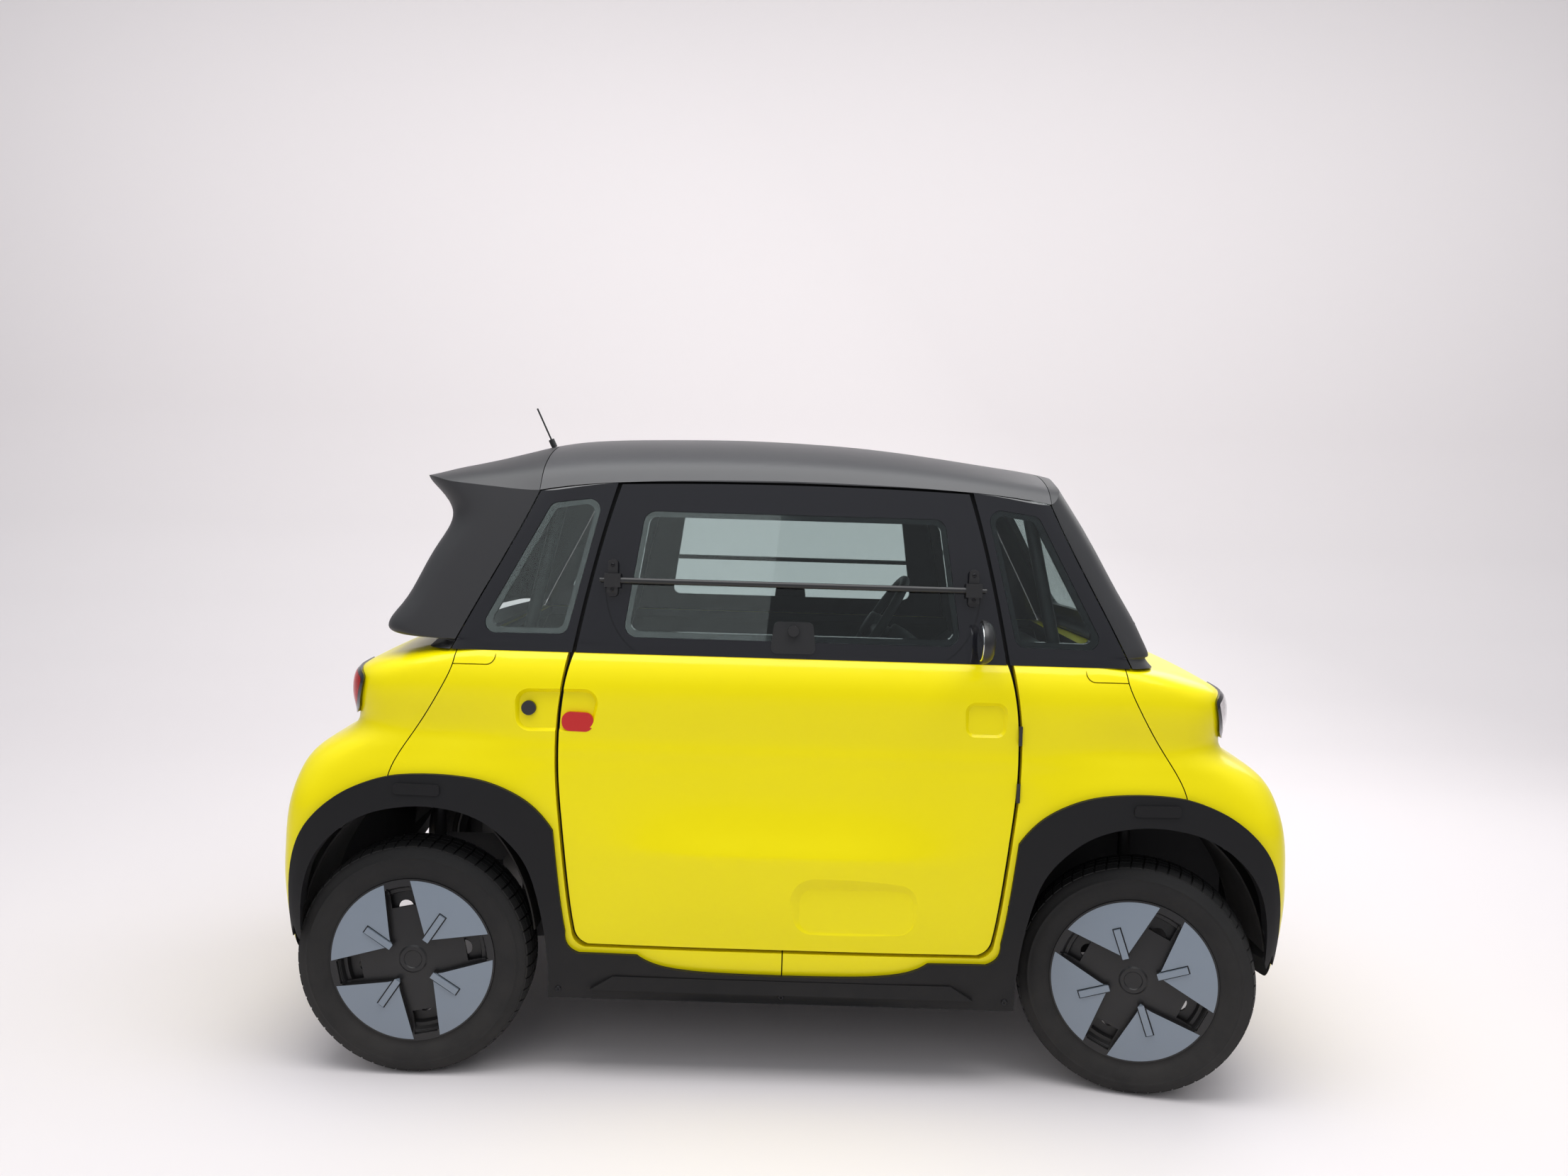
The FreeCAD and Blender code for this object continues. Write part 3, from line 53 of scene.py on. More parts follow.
# Studio
# A pale floor that rises into a backdrop well behind the car, under a sky that pales upwards.
# One broad soft box hangs overhead, weaker ones light the side, the far end and the backdrop.
# The camera stands off the right side at an adult's eye height.

PHOTO_WIDTH = 2212.0
PHOTO_FOCAL = 1940.0
EYE = Vector((-0.013, -3.837, 1.409))
YAW, PITCH, ROLL = math.radians(-0.15), math.radians(4.01), math.radians(1.7)
UP = Vector((0, 0, 1))
level_ahead = Vector((math.sin(YAW), math.cos(YAW), 0))
level_right = Vector((math.cos(YAW), -math.sin(YAW), 0))
ahead = level_ahead * math.cos(PITCH) - UP * math.sin(PITCH)
above = UP * math.cos(PITCH) + level_ahead * math.sin(PITCH)
cam_right = level_right * math.cos(ROLL) + above * math.sin(ROLL)
cam_up = above * math.cos(ROLL) - level_right * math.sin(ROLL)
camera = bpy.data.objects.new("photo_camera", bpy.data.cameras.new("photo_camera"))
camera.data.sensor_width = 36.0
camera.data.sensor_fit = "HORIZONTAL"
camera.data.lens = PHOTO_FOCAL / PHOTO_WIDTH * 36.0
view = Matrix.Identity(4)
for column, way in enumerate((cam_right, cam_up, -ahead, EYE)):
    for row in range(3):
        view[row][column] = way[row]
camera.matrix_world = view
scene.collection.objects.link(camera)
scene.camera = camera


def new_material(name):
    material = bpy.data.materials.new(name)
    material.use_nodes = True
    tree = material.node_tree
    shader = tree.nodes["Principled BSDF"]
    return material, tree, shader


def wire(tree, source, target):
    tree.links.new(source, target)


def math_node(tree, operation):
    node = tree.nodes.new("ShaderNodeMath")
    node.operation = operation
    return node


def color_mix(tree):
    node = tree.nodes.new("ShaderNodeMix")
    node.data_type = "RGBA"
    return node


def mesh_object(name, verts, faces, smooth=True):
    mesh = bpy.data.meshes.new(name)
    mesh.from_pydata([tuple(v) for v in verts], [], faces)
    for polygon in mesh.polygons:
        polygon.use_smooth = smooth
    obj = bpy.data.objects.new(name, mesh)
    scene.collection.objects.link(obj)
    return obj


def tidy_mesh(obj):
    """Merges doubles and turns every face outwards."""
    bm = bmesh.new()
    bm.from_mesh(obj.data)
    bmesh.ops.remove_doubles(bm, verts=bm.verts, dist=1e-6)
    bmesh.ops.dissolve_degenerate(bm, edges=bm.edges, dist=1e-7)
    bmesh.ops.recalc_face_normals(bm, faces=bm.faces)
    bm.to_mesh(obj.data)
    bm.free()


floor_paint, tree, shader = new_material("studio_floor")
shader.inputs["Roughness"].default_value = 0.85
shader.inputs["Base Color"].default_value = (0.75, 0.71, 0.715, 1)
cove = [(-14, 0), (3.2, 0), (3.9, 0.05), (4.6, 0.24), (5.2, 0.6), (5.6, 1.1), (5.8, 1.9), (5.8, 9)]
cove_verts = [(x, y, z) for y, z in cove for x in (-16, 16)]
cove_faces = [(2 * k, 2 * k + 1, 2 * k + 3, 2 * k + 2) for k in range(len(cove) - 1)]
floor = mesh_object("studio_floor", cove_verts, cove_faces)
floor.data.materials.append(floor_paint)

world = bpy.data.worlds.new("studio")
scene.world = world
world.use_nodes = True
world_tree = world.node_tree
background = world_tree.nodes["Background"]
background.inputs["Color"].default_value = (0.92, 0.95, 1.0, 1)
sky_place = world_tree.nodes.new("ShaderNodeTexCoord")
sky_split = world_tree.nodes.new("ShaderNodeSeparateXYZ")
sky_fade = world_tree.nodes.new("ShaderNodeMapRange")
sky_fade.inputs["From Max"].default_value = 0.7
sky_fade.inputs["To Min"].default_value = 0.20
sky_fade.inputs["To Max"].default_value = 0.75
wire(world_tree, sky_place.outputs["Generated"], sky_split.inputs["Vector"])
wire(world_tree, sky_split.outputs["Z"], sky_fade.inputs["Value"])
wire(world_tree, sky_fade.outputs["Result"], background.inputs["Strength"])


def area_lamp(name, place, aim, width, height, power, mirrored=True):
    lamp = bpy.data.lights.new(name, "AREA")
    lamp.shape = "RECTANGLE"
    lamp.size, lamp.size_y, lamp.energy = width, height, power
    obj = bpy.data.objects.new(name, lamp)
    obj.location = place
    obj.rotation_euler = (Vector(aim) - Vector(place)).to_track_quat("-Z", "Y").to_euler()
    obj.visible_glossy = mirrored
    scene.collection.objects.link(obj)


area_lamp("overhead_box", (0.0, -1.0, 4.6), (0, 0.2, 0.4), 5.0, 3.6, 195)
area_lamp("side_box", (-2.0, -6.0, 2.8), (0, 0, 0.8), 4.0, 2.0, 44, mirrored=False)
area_lamp("rear_fill", (3.0, 3.0, 3.4), (0, 0, 0.8), 3.0, 2.0, 50)
area_lamp("wall_wash", (0.0, 2.6, 4.4), (0, 6.5, 2.2), 13.0, 1.2, 135)

# Yellow body panels
# Deep-drawn plastic skins coloured in the mass and lacquered: the same nose and tail, four
# corner panels and two doors. They hang on the steel frame with even gaps.


def effect_group(name, outputs):
    """A shader node group with its named output sockets, and its input and output nodes."""
    group = bpy.data.node_groups.new(name, "ShaderNodeTree")
    for label, kind in outputs:
        group.interface.new_socket(name=label, in_out="OUTPUT", socket_type=kind)
    return group, group.nodes.new("NodeGroupInput"), group.nodes.new("NodeGroupOutput")


def group_input(group, label, kind, value):
    socket = group.interface.new_socket(name=label, in_out="INPUT", socket_type=kind)
    socket.default_value = value


# Fine height noise for lacquer ripple and moulded grain.
grain_group, grain_in, grain_out = effect_group(
    "surface_grain", [("Height", "NodeSocketFloat"), ("Mask", "NodeSocketFloat")])
group_input(grain_group, "Scale", "NodeSocketFloat", 400.0)
group_input(grain_group, "Detail", "NodeSocketFloat", 3.0)
coords = grain_group.nodes.new("ShaderNodeTexCoord")
fine = grain_group.nodes.new("ShaderNodeTexNoise")
broad = grain_group.nodes.new("ShaderNodeTexNoise")
broad.inputs["Scale"].default_value = 2.6
wire(grain_group, coords.outputs["Object"], fine.inputs["Vector"])
wire(grain_group, coords.outputs["Object"], broad.inputs["Vector"])
wire(grain_group, grain_in.outputs["Scale"], fine.inputs["Scale"])
wire(grain_group, grain_in.outputs["Detail"], fine.inputs["Detail"])
wire(grain_group, fine.outputs["Fac"], grain_out.inputs["Height"])
wire(grain_group, broad.outputs["Fac"], grain_out.inputs["Mask"])

# Road dust that settles low on the car and fades upwards, broken up by noise.
dust_group, dust_in, dust_out = effect_group(
    "road_dust", [("Color", "NodeSocketColor"), ("Dust", "NodeSocketFloat")])
group_input(dust_group, "Color", "NodeSocketColor", (0.5, 0.5, 0.5, 1))
group_input(dust_group, "Dust Color", "NodeSocketColor", (0.20, 0.18, 0.16, 1))
group_input(dust_group, "Top", "NodeSocketFloat", 0.5)
group_input(dust_group, "Amount", "NodeSocketFloat", 0.3)
coords = dust_group.nodes.new("ShaderNodeTexCoord")
split = dust_group.nodes.new("ShaderNodeSeparateXYZ")
fade = dust_group.nodes.new("ShaderNodeMapRange")
patches = dust_group.nodes.new("ShaderNodeTexNoise")
patches.inputs["Scale"].default_value = 14.0
patches.inputs["Detail"].default_value = 6.0
strength = math_node(dust_group, "MULTIPLY")
cover = math_node(dust_group, "MULTIPLY")
blend = color_mix(dust_group)
wire(dust_group, coords.outputs["Object"], split.inputs["Vector"])
wire(dust_group, coords.outputs["Object"], patches.inputs["Vector"])
wire(dust_group, split.outputs["Z"], fade.inputs["Value"])
wire(dust_group, dust_in.outputs["Top"], fade.inputs["From Min"])
fade.inputs["From Max"].default_value = 0.0
wire(dust_group, fade.outputs["Result"], strength.inputs[0])
wire(dust_group, patches.outputs["Fac"], strength.inputs[1])
wire(dust_group, strength.outputs[0], cover.inputs[0])
wire(dust_group, dust_in.outputs["Amount"], cover.inputs[1])
wire(dust_group, cover.outputs[0], blend.inputs["Factor"])
wire(dust_group, dust_in.outputs["Color"], blend.inputs["A"])
wire(dust_group, dust_in.outputs["Dust Color"], blend.inputs["B"])
wire(dust_group, blend.outputs["Result"], dust_out.inputs["Color"])
wire(dust_group, cover.outputs[0], dust_out.inputs["Dust"])


def surface(name, color, roughness, grain_scale=500.0, bump=0.02, variation=0.06, dust=0.0, dust_top=0.6,
            coat=0.0, metallic=0.0, sheen=0.0, specular=0.5):
    """One finish: base colour with broad variation, grained bump and optional dust low down."""
    material, tree, shader = new_material(name)
    grain = tree.nodes.new("ShaderNodeGroup")
    grain.node_tree = grain_group
    grain.inputs["Scale"].default_value = grain_scale
    shade = color_mix(tree)
    dark = tuple(c * (1 - variation) for c in color)
    light = tuple(min(1.0, c * (1 + variation)) for c in color)
    shade.inputs["A"].default_value = (*dark, 1)
    shade.inputs["B"].default_value = (*light, 1)
    wire(tree, grain.outputs["Mask"], shade.inputs["Factor"])
    dusty = tree.nodes.new("ShaderNodeGroup")
    dusty.node_tree = dust_group
    dusty.inputs["Amount"].default_value = dust
    dusty.inputs["Top"].default_value = dust_top
    wire(tree, shade.outputs["Result"], dusty.inputs["Color"])
    wire(tree, dusty.outputs["Color"], shader.inputs["Base Color"])
    rough = tree.nodes.new("ShaderNodeMapRange")
    rough.inputs["To Min"].default_value = roughness
    rough.inputs["To Max"].default_value = min(1.0, roughness + 0.35)
    wire(tree, dusty.outputs["Dust"], rough.inputs["Value"])
    wire(tree, rough.outputs["Result"], shader.inputs["Roughness"])
    relief = tree.nodes.new("ShaderNodeBump")
    relief.inputs["Strength"].default_value = 1.0
    relief.inputs["Distance"].default_value = bump * 0.001
    wire(tree, grain.outputs["Height"], relief.inputs["Height"])
    wire(tree, relief.outputs["Normal"], shader.inputs["Normal"])
    shader.inputs["Coat Weight"].default_value = coat
    shader.inputs["Coat Roughness"].default_value = 0.06
    shader.inputs["Metallic"].default_value = metallic
    shader.inputs["Sheen Weight"].default_value = sheen
    shader.inputs["Specular IOR Level"].default_value = specular
    return material


def finish_nodes(material, *names):
    for name in names:
        if name in nodes:
            nodes[name].data.materials.clear()
            nodes[name].data.materials.append(material)


yellow_lacquer = surface("yellow_lacquer", (0.86, 0.735, 0.0), 0.30, 900.0, 0.004, 0.02, 0.05, 0.5, coat=0.16,
                         specular=0.22)
panel_back = surface("panel_back", (0.022, 0.022, 0.023), 0.62, 700.0, 0.10, 0.12)
PANELS = [n for n in nodes if n.startswith(("nose_panel", "tail_panel", "quarter_panel", "door_shell"))]
finish_nodes(yellow_lacquer, *PANELS)
# Faces that look back towards a line through the middle of the car are the unpainted insides.
MIDDLE_HEIGHT = 0.6
LENGTH_SHARE, HEIGHT_SHARE = 0.35, 0.3
FACING_IN = -0.35
for name in PANELS:
    skin = nodes[name].data
    skin.materials.append(panel_back)
    for polygon in skin.polygons:
        x, y, z = polygon.center
        outward = Vector((x * LENGTH_SHARE, y, (z - MIDDLE_HEIGHT) * HEIGHT_SHARE))
        if polygon.normal.dot(outward.normalized()) < FACING_IN:
            polygon.material_index = 1

# Roof, windscreen surround and rear surround
# Textured thermoplastic mouldings, dark grey and satin, with a fine leather-like grain.

roof_grain = surface("roof_grain", (0.042, 0.042, 0.045), 0.42, 1400.0, 0.05, 0.08)
surround_grain = surface("surround_grain", (0.026, 0.026, 0.028), 0.46, 1400.0, 0.05, 0.08)
finish_nodes(roof_grain, "roof_panel")
finish_nodes(surround_grain, "rear_window_surround", "windscreen_surround")

# Glazing
# Grey-green safety glass bonded behind a gloss black ceramic border. The borders are separate
# mouldings round the side windows; the lower door pane swings out on a bar.

border_gloss = surface("border_gloss", (0.010, 0.010, 0.013), 0.09, 700.0, 0.002, 0.05, coat=0.4)
finish_nodes(border_gloss, *[n for n in nodes if n.startswith(("window_band", "door_window_frame"))])


def clear_finish(name, color, transmission, roughness, ior):
    material, tree, shader = new_material(name)
    shader.inputs["Base Color"].default_value = (*color, 1)
    shader.inputs["Transmission Weight"].default_value = transmission
    shader.inputs["Roughness"].default_value = roughness
    shader.inputs["IOR"].default_value = ior
    return material


tinted_glass = clear_finish("tinted_glass", (0.60, 0.68, 0.67), 1.0, 0.0, 1.45)
pane_edge = surface("pane_edge", (0.012, 0.013, 0.013), 0.35, 900.0, 0.004, 0.1)
PANES = {"windscreen": (0.86, 0, 0.51), "rear_window": (-0.86, 0, 0.51), "quarter_windows": (0, 1, 0),
         "door_glass_right": (0, -1, 0), "door_glass_left": (0, 1, 0)}
EDGE_COSINE = 0.3
for name, way in PANES.items():
    finish_nodes(tinted_glass, name)
    pane = nodes[name].data
    pane.materials.append(pane_edge)
    for polygon in pane.polygons:
        if abs(polygon.normal.dot(Vector(way).normalized())) < EDGE_COSINE:
            polygon.material_index = 1

# Lower side trims and wheelhouse liners
# Unpainted black polypropylene: one moulding a side holds both arches and the sill, with
# felted liners behind it.

black_plastic = surface("black_plastic", (0.008, 0.008, 0.009), 0.58, 1100.0, 0.08, 0.12, 0.10, 0.45,
                        specular=0.25)
liner_felt = surface("liner_felt", (0.010, 0.010, 0.010), 0.9, 600.0, 0.4, 0.2, 0.5, 0.7)
finish_nodes(black_plastic, "side_trim_right", "side_trim_left")
finish_nodes(liner_felt, "wheelhouse_liners")

# Lamps
# Square gloss black housings wrapped round the corners, with clear lenses in front and red
# ones behind.

lamp_black = surface("lamp_black", (0.012, 0.012, 0.013), 0.15, 800.0, 0.003, 0.05, coat=0.3)
finish_nodes(lamp_black, "headlamps", "tail_lamps")
clear_lens = clear_finish("clear_lens", (0.97, 0.95, 0.95), 1.0, 0.02, 1.3)
red_lens = clear_finish("red_lens", (0.75, 0.015, 0.012), 0.75, 0.10, 1.3)
finish_nodes(clear_lens, "headlamp_lenses")
finish_nodes(red_lens, "tail_lamp_lenses")

# A bright reflector, with fine flutes across small cells.
fluted, tree, shader = new_material("fluted_reflector")
coords = tree.nodes.new("ShaderNodeTexCoord")
flutes = tree.nodes.new("ShaderNodeTexWave")
flutes.bands_direction = "Z"
flutes.inputs["Scale"].default_value = 60.0
cells = tree.nodes.new("ShaderNodeTexVoronoi")
cells.inputs["Scale"].default_value = 160.0
relief = tree.nodes.new("ShaderNodeBump")
relief.inputs["Distance"].default_value = 0.0012
second = tree.nodes.new("ShaderNodeBump")
second.inputs["Distance"].default_value = 0.0006
wire(tree, coords.outputs["Object"], flutes.inputs["Vector"])
wire(tree, coords.outputs["Object"], cells.inputs["Vector"])
wire(tree, flutes.outputs["Fac"], relief.inputs["Height"])
wire(tree, cells.outputs["Distance"], second.inputs["Height"])
wire(tree, relief.outputs["Normal"], second.inputs["Normal"])
wire(tree, second.outputs["Normal"], shader.inputs["Normal"])
shader.inputs["Base Color"].default_value = (0.72, 0.72, 0.74, 1)
shader.inputs["Metallic"].default_value = 1.0
shader.inputs["Roughness"].default_value = 0.18


def tree_of(name):
    mesh = nodes[name].data
    return BVHTree.FromPolygons([v.co for v in mesh.vertices], [tuple(p.vertices) for p in mesh.polygons])


# The reflector is what looks at the lens from the pocket behind it.
POCKET_DEPTH = 0.045
SKIN_OFFSET = 0.002
SHELF_COSINE = 0.6
for housing, lens in (("headlamps", "headlamp_lenses"), ("tail_lamps", "tail_lamp_lenses")):
    body_mesh = nodes[housing].data
    body_mesh.materials.append(fluted)
    lens_tree = tree_of(lens)
    for polygon in body_mesh.polygons:
        start = polygon.center + polygon.normal * SKIN_OFFSET
        hit = lens_tree.ray_cast(start, polygon.normal, POCKET_DEPTH)
        if hit[0] is not None and abs(polygon.normal.z) < SHELF_COSINE:
            polygon.material_index = 1

# Door furniture and mirrors
# Black nylon brackets, bar, latches and lock barrels, red webbing pulls and folding mirrors.

nylon = surface("black_nylon", (0.016, 0.016, 0.017), 0.40, 900.0, 0.04, 0.1)
pull_red = surface("pull_red", (0.50, 0.012, 0.012), 0.38, 500.0, 0.03, 0.08)
lock_metal = surface("lock_metal", (0.05, 0.05, 0.052), 0.35, 900.0, 0.01, 0.1, metallic=0.7)
finish_nodes(nylon, "window_bar_right", "window_bar_left", "door_mirror_right", "door_mirror_left")
finish_nodes(nylon, "door_hinges", "aerial", "door_jambs")
finish_nodes(pull_red, "door_pull_right", "door_pull_left")
finish_nodes(lock_metal, "door_locks")

mirror_glass, tree, shader = new_material("mirror_glass")
shader.inputs["Base Color"].default_value = (0.82, 0.84, 0.86, 1)
shader.inputs["Metallic"].default_value = 1.0
shader.inputs["Roughness"].default_value = 0.03
MIRROR_WIDTH = 0.112
MIRROR_HEIGHT = 0.088
MIRROR_SIDES = 48
MIRROR_DOME = ((1.0, 0.0), (0.97, 0.0022), (0.90, 0.0024), (0.5, 0.0027), (0.0, 0.0028))
for side, label in ((-1, "right"), (1, "left")):
    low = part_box("door_mirror_" + label)[0]
    shell_middle = Vector((low.x, side * 0.718, 1.080))
    verts, faces = [], []
    for ring, (share, stand) in enumerate(MIRROR_DOME):
        for k in range(MIRROR_SIDES):
            turn = math.tau * k / MIRROR_SIDES
            verts.append(shell_middle + Vector((-stand, MIRROR_WIDTH / 2 * share * math.cos(turn),
                                                MIRROR_HEIGHT / 2 * share * math.sin(turn))))
            if ring:
                a, b = MIRROR_SIDES * (ring - 1), MIRROR_SIDES * ring
                faces.append((a + k, a + (k + 1) % MIRROR_SIDES, b + (k + 1) % MIRROR_SIDES, b + k))
    faces.append(tuple(range(MIRROR_SIDES)))
    pane = mesh_object("mirror_pane_" + label, verts, faces)
    tidy_mesh(pane)
    pane.data.materials.append(mirror_glass)
    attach(pane, "door_" + label)

# Screws
# Pan-head screws with a star socket, in black steel, where the sills, arches and window
# brackets are held.

screw_steel = surface("screw_steel", (0.03, 0.03, 0.032), 0.32, 900.0, 0.01, 0.1, metallic=0.9)
screw_tree = bpy.data.node_groups.new("screw_heads", "GeometryNodeTree")
screw_tree.interface.new_socket(name="Seats", in_out="INPUT", socket_type="NodeSocketGeometry")
head_socket = screw_tree.interface.new_socket(name="Head", in_out="INPUT", socket_type="NodeSocketObject")
size_socket = screw_tree.interface.new_socket(
    name="Head Radius", in_out="INPUT", socket_type="NodeSocketFloat")
screw_tree.interface.new_socket(name="Screws", in_out="OUTPUT", socket_type="NodeSocketGeometry")
screw_in = screw_tree.nodes.new("NodeGroupInput")
screw_out = screw_tree.nodes.new("NodeGroupOutput")
facing = screw_tree.nodes.new("GeometryNodeInputNamedAttribute")
facing.data_type = "FLOAT_VECTOR"
facing.inputs["Name"].default_value = "facing"
align = screw_tree.nodes.new("FunctionNodeAlignRotationToVector")
align.axis = "Z"
head = screw_tree.nodes.new("GeometryNodeObjectInfo")
drive_in = screw_tree.nodes.new("GeometryNodeInstanceOnPoints")
solid = screw_tree.nodes.new("GeometryNodeRealizeInstances")
paint = screw_tree.nodes.new("GeometryNodeSetMaterial")
paint.inputs["Material"].default_value = screw_steel
wire(screw_tree, screw_in.outputs["Head"], head.inputs["Object"])
wire(screw_tree, screw_in.outputs["Seats"], drive_in.inputs["Points"])
wire(screw_tree, head.outputs["Geometry"], drive_in.inputs["Instance"])
wire(screw_tree, facing.outputs["Attribute"], align.inputs["Vector"])
wire(screw_tree, align.outputs["Rotation"], drive_in.inputs["Rotation"])
wire(screw_tree, screw_in.outputs["Head Radius"], drive_in.inputs["Scale"])
wire(screw_tree, drive_in.outputs[0], solid.inputs[0])
wire(screw_tree, solid.outputs[0], paint.inputs["Geometry"])
wire(screw_tree, paint.outputs[0], screw_out.inputs["Screws"])


def grown_by_nodes(obj, tree, settings):
    """Runs a node tree on a mesh and gives the result as a plain mesh object."""
    modifier = obj.modifiers.new("grow", "NODES")
    modifier.node_group = tree
    for socket, value in settings:
        modifier[socket.identifier] = value
    bpy.context.view_layer.update()
    mesh = bpy.data.meshes.new_from_object(obj.evaluated_get(bpy.context.evaluated_depsgraph_get()))
    obj.modifiers.remove(modifier)
    obj.data = mesh
    return obj


STAR = 12
# Radius, height and depth of the star socket on each ring, as shares of the head's radius.
HEAD_RINGS = ((1.0, -0.15, 0.0), (1.0, 0.12, 0.0), (0.93, 0.30, 0.0), (0.72, 0.42, 0.0),
              (0.52, 0.46, 0.0), (0.46, 0.44, 0.16), (0.44, 0.10, 0.16), (0.0, 0.08, 0.0))
verts, faces = [], []
for ring, (radius, height, star) in enumerate(HEAD_RINGS):
    for k in range(STAR):
        turn = math.tau * k / STAR
        reach = radius * (1 - star * (1 + (-1) ** k))
        verts.append((reach * math.cos(turn), reach * math.sin(turn), height))
        if ring:
            a, b = STAR * (ring - 1), STAR * ring
            faces.append((a + k, a + (k + 1) % STAR, b + (k + 1) % STAR, b + k))
faces.append(tuple(range(STAR)))
screw_head = mesh_object("screw_head", verts, faces)
tidy_mesh(screw_head)


def screws(name, body, radius, carriers, spots):
    """One mesh of screw heads, seated where a line from each spot meets the carriers."""
    trees = [tree_of(n) for n in carriers]
    seats, ways = [], []
    for start, way in spots:
        hits = [t.ray_cast(Vector(start), Vector(way).normalized(), 1.5) for t in trees]
        hits = [h for h in hits if h[0] is not None]
        if hits:
            point, normal, _, _ = min(hits, key=lambda h: h[3])
            seats.append(point)
            ways.append(normal if normal.dot(Vector(way)) < 0 else -normal)
    obj = mesh_object(name, seats, [])
    facing_values = obj.data.attributes.new("facing", "FLOAT_VECTOR", "POINT")
    for index, way in enumerate(ways):
        facing_values.data[index].vector = way
    grown_by_nodes(obj, screw_tree, ((head_socket, screw_head), (size_socket, radius)))
    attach(obj, body)
    return obj


AXLES = (0.854, -0.874)
AXLE_HEIGHT = 0.2785
ARCH_LIP_RADIUS = 0.33
for side, label in ((-1, "right"), (1, "left")):
    trim = "side_trim_" + label
    inward = (0, -side, 0)
    spots = [((x, side * 1.0, z), inward) for x, z in ((0.528, 0.220), (-0.528, 0.220), (0.0, 0.212))]
    spots += [((end * 0.560, side * 1.0, 0.330), inward) for end in (-1, 1)]
    screws("sill_screws_" + label, "car", 0.0075, [trim], spots)
    arch_spots = []
    for axle_x in AXLES:
        for degrees in (28, 62, 118, 152):
            turn = math.radians(degrees)
            way = (math.cos(turn), 0, math.sin(turn))
            arch_spots.append(((axle_x + ARCH_LIP_RADIUS * way[0], side * 0.660,
                                AXLE_HEIGHT + ARCH_LIP_RADIUS * way[2]), way))
    screws("arch_screws_" + label, "car", 0.006, [trim], arch_spots)
    bracket_spots = [((x, side * 1.0, z), inward) for x in (-0.424, 0.424) for z in (1.168, 1.226)]
    screws("bracket_screws_" + label, "door_" + label, 0.0048, ["window_bar_" + label], bracket_spots)
bpy.data.objects.remove(screw_head)

# Wiper
# One long arm from a pivot under the windscreen, with its blade lying across the lower edge
# of the glass.


def swept(name, path, sizes, sides=12):
    """A closed round bar through the points of a path, with a radius at each."""
    verts, faces = [], []
    path = [Vector(p) for p in path]
    for k, point in enumerate(path):
        ahead_of = path[min(k + 1, len(path) - 1)] - path[max(k - 1, 0)]
        beside = UP if abs(ahead_of.normalized().z) < 0.9 else Vector((0, 1, 0))
        across = ahead_of.cross(beside).normalized()
        over = ahead_of.cross(across).normalized()
        for j in range(sides):
            turn = math.tau * j / sides
            verts.append(point + (across * math.cos(turn) + over * math.sin(turn)) * sizes[k])
            if k:
                a, b = sides * (k - 1), sides * k
                faces.append((a + j, a + (j + 1) % sides, b + (j + 1) % sides, b + j))
    faces.append(tuple(range(sides)))
    faces.append(tuple(range(sides * (len(path) - 1), sides * len(path))))
    obj = mesh_object(name, verts, faces)
    tidy_mesh(obj)
    return obj


SCREEN_OUT = Vector((0.86, 0, 0.51))
glass_trees = [tree_of("windscreen"), tree_of("windscreen_surround")]


def on_screen(y, z, stand):
    """A point that stands off the windscreen or its surround."""
    hits = [t.ray_cast(Vector((1.4, y, z)), Vector((-1, 0, 0)), 1.0) for t in glass_trees]
    hits = [h for h in hits if h[0] is not None]
    point = max((h[0] for h in hits), key=lambda p: p.x)
    return point + SCREEN_OUT.normalized() * stand


blade_line = [on_screen(-0.40 + 0.04 * k, 1.100 + 0.0006 * k, 0.0085) for k in range(14)]
blade = swept("wiper_blade", blade_line, [0.003] + [0.0048] * 12 + [0.003], 10)
pivot = on_screen(0.235, 1.048, 0.012)
arm_line = [pivot, on_screen(0.15, 1.062, 0.020), on_screen(0.02, 1.084, 0.021),
            blade_line[7] + Vector((0.010, 0, 0.006))]
arm = swept("wiper_arm", arm_line, [0.0085, 0.0070, 0.0050, 0.0040], 12)
cap = swept("wiper_pivot", [pivot + SCREEN_OUT * rise for rise in (-0.014, 0.0, 0.008, 0.011)],
            [0.014, 0.014, 0.012, 0.006], 20)
blade_rubber = surface("blade_rubber", (0.012, 0.012, 0.012), 0.7, 500.0, 0.05, 0.1)
for piece, finish in ((blade, blade_rubber), (arm, nylon), (cap, nylon)):
    piece.data.materials.append(finish)
    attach(piece, "car")

# Frame and running gear
# Welded steel tube in black coating, with dust low down; forged knuckles and struts.

coated_steel = surface("coated_steel", (0.020, 0.020, 0.021), 0.45, 300.0, 0.1, 0.15, 0.45, 0.6, metallic=0.2)
bare_cast = surface("bare_cast", (0.11, 0.105, 0.10), 0.5, 350.0, 0.25, 0.2, 0.6, 0.6, metallic=0.8)
finish_nodes(coated_steel, "chassis_frame", "front_axle", "rear_axle", "steering_column")
finish_nodes(bare_cast, "knuckle_right", "knuckle_left")

# Wheels and covers
# Pressed steel rims under a black moulded cover, whose four petals are painted blue grey.

cover_black = surface("cover_black", (0.010, 0.010, 0.011), 0.36, 1000.0, 0.04, 0.1, 0.10, 0.45, specular=0.4)
petal_grey = surface("petal_grey", (0.185, 0.225, 0.275), 0.34, 800.0, 0.006, 0.03, 0.25, 0.45, coat=0.3)
rubber = surface("tyre_rubber", (0.011, 0.011, 0.0115), 0.72, 260.0, 0.25, 0.15, 0.16, 0.62, specular=0.3)


def joint_of(body):
    for joint in frame["joints"]:
        if joint["child"] == body:
            return joint
    return None


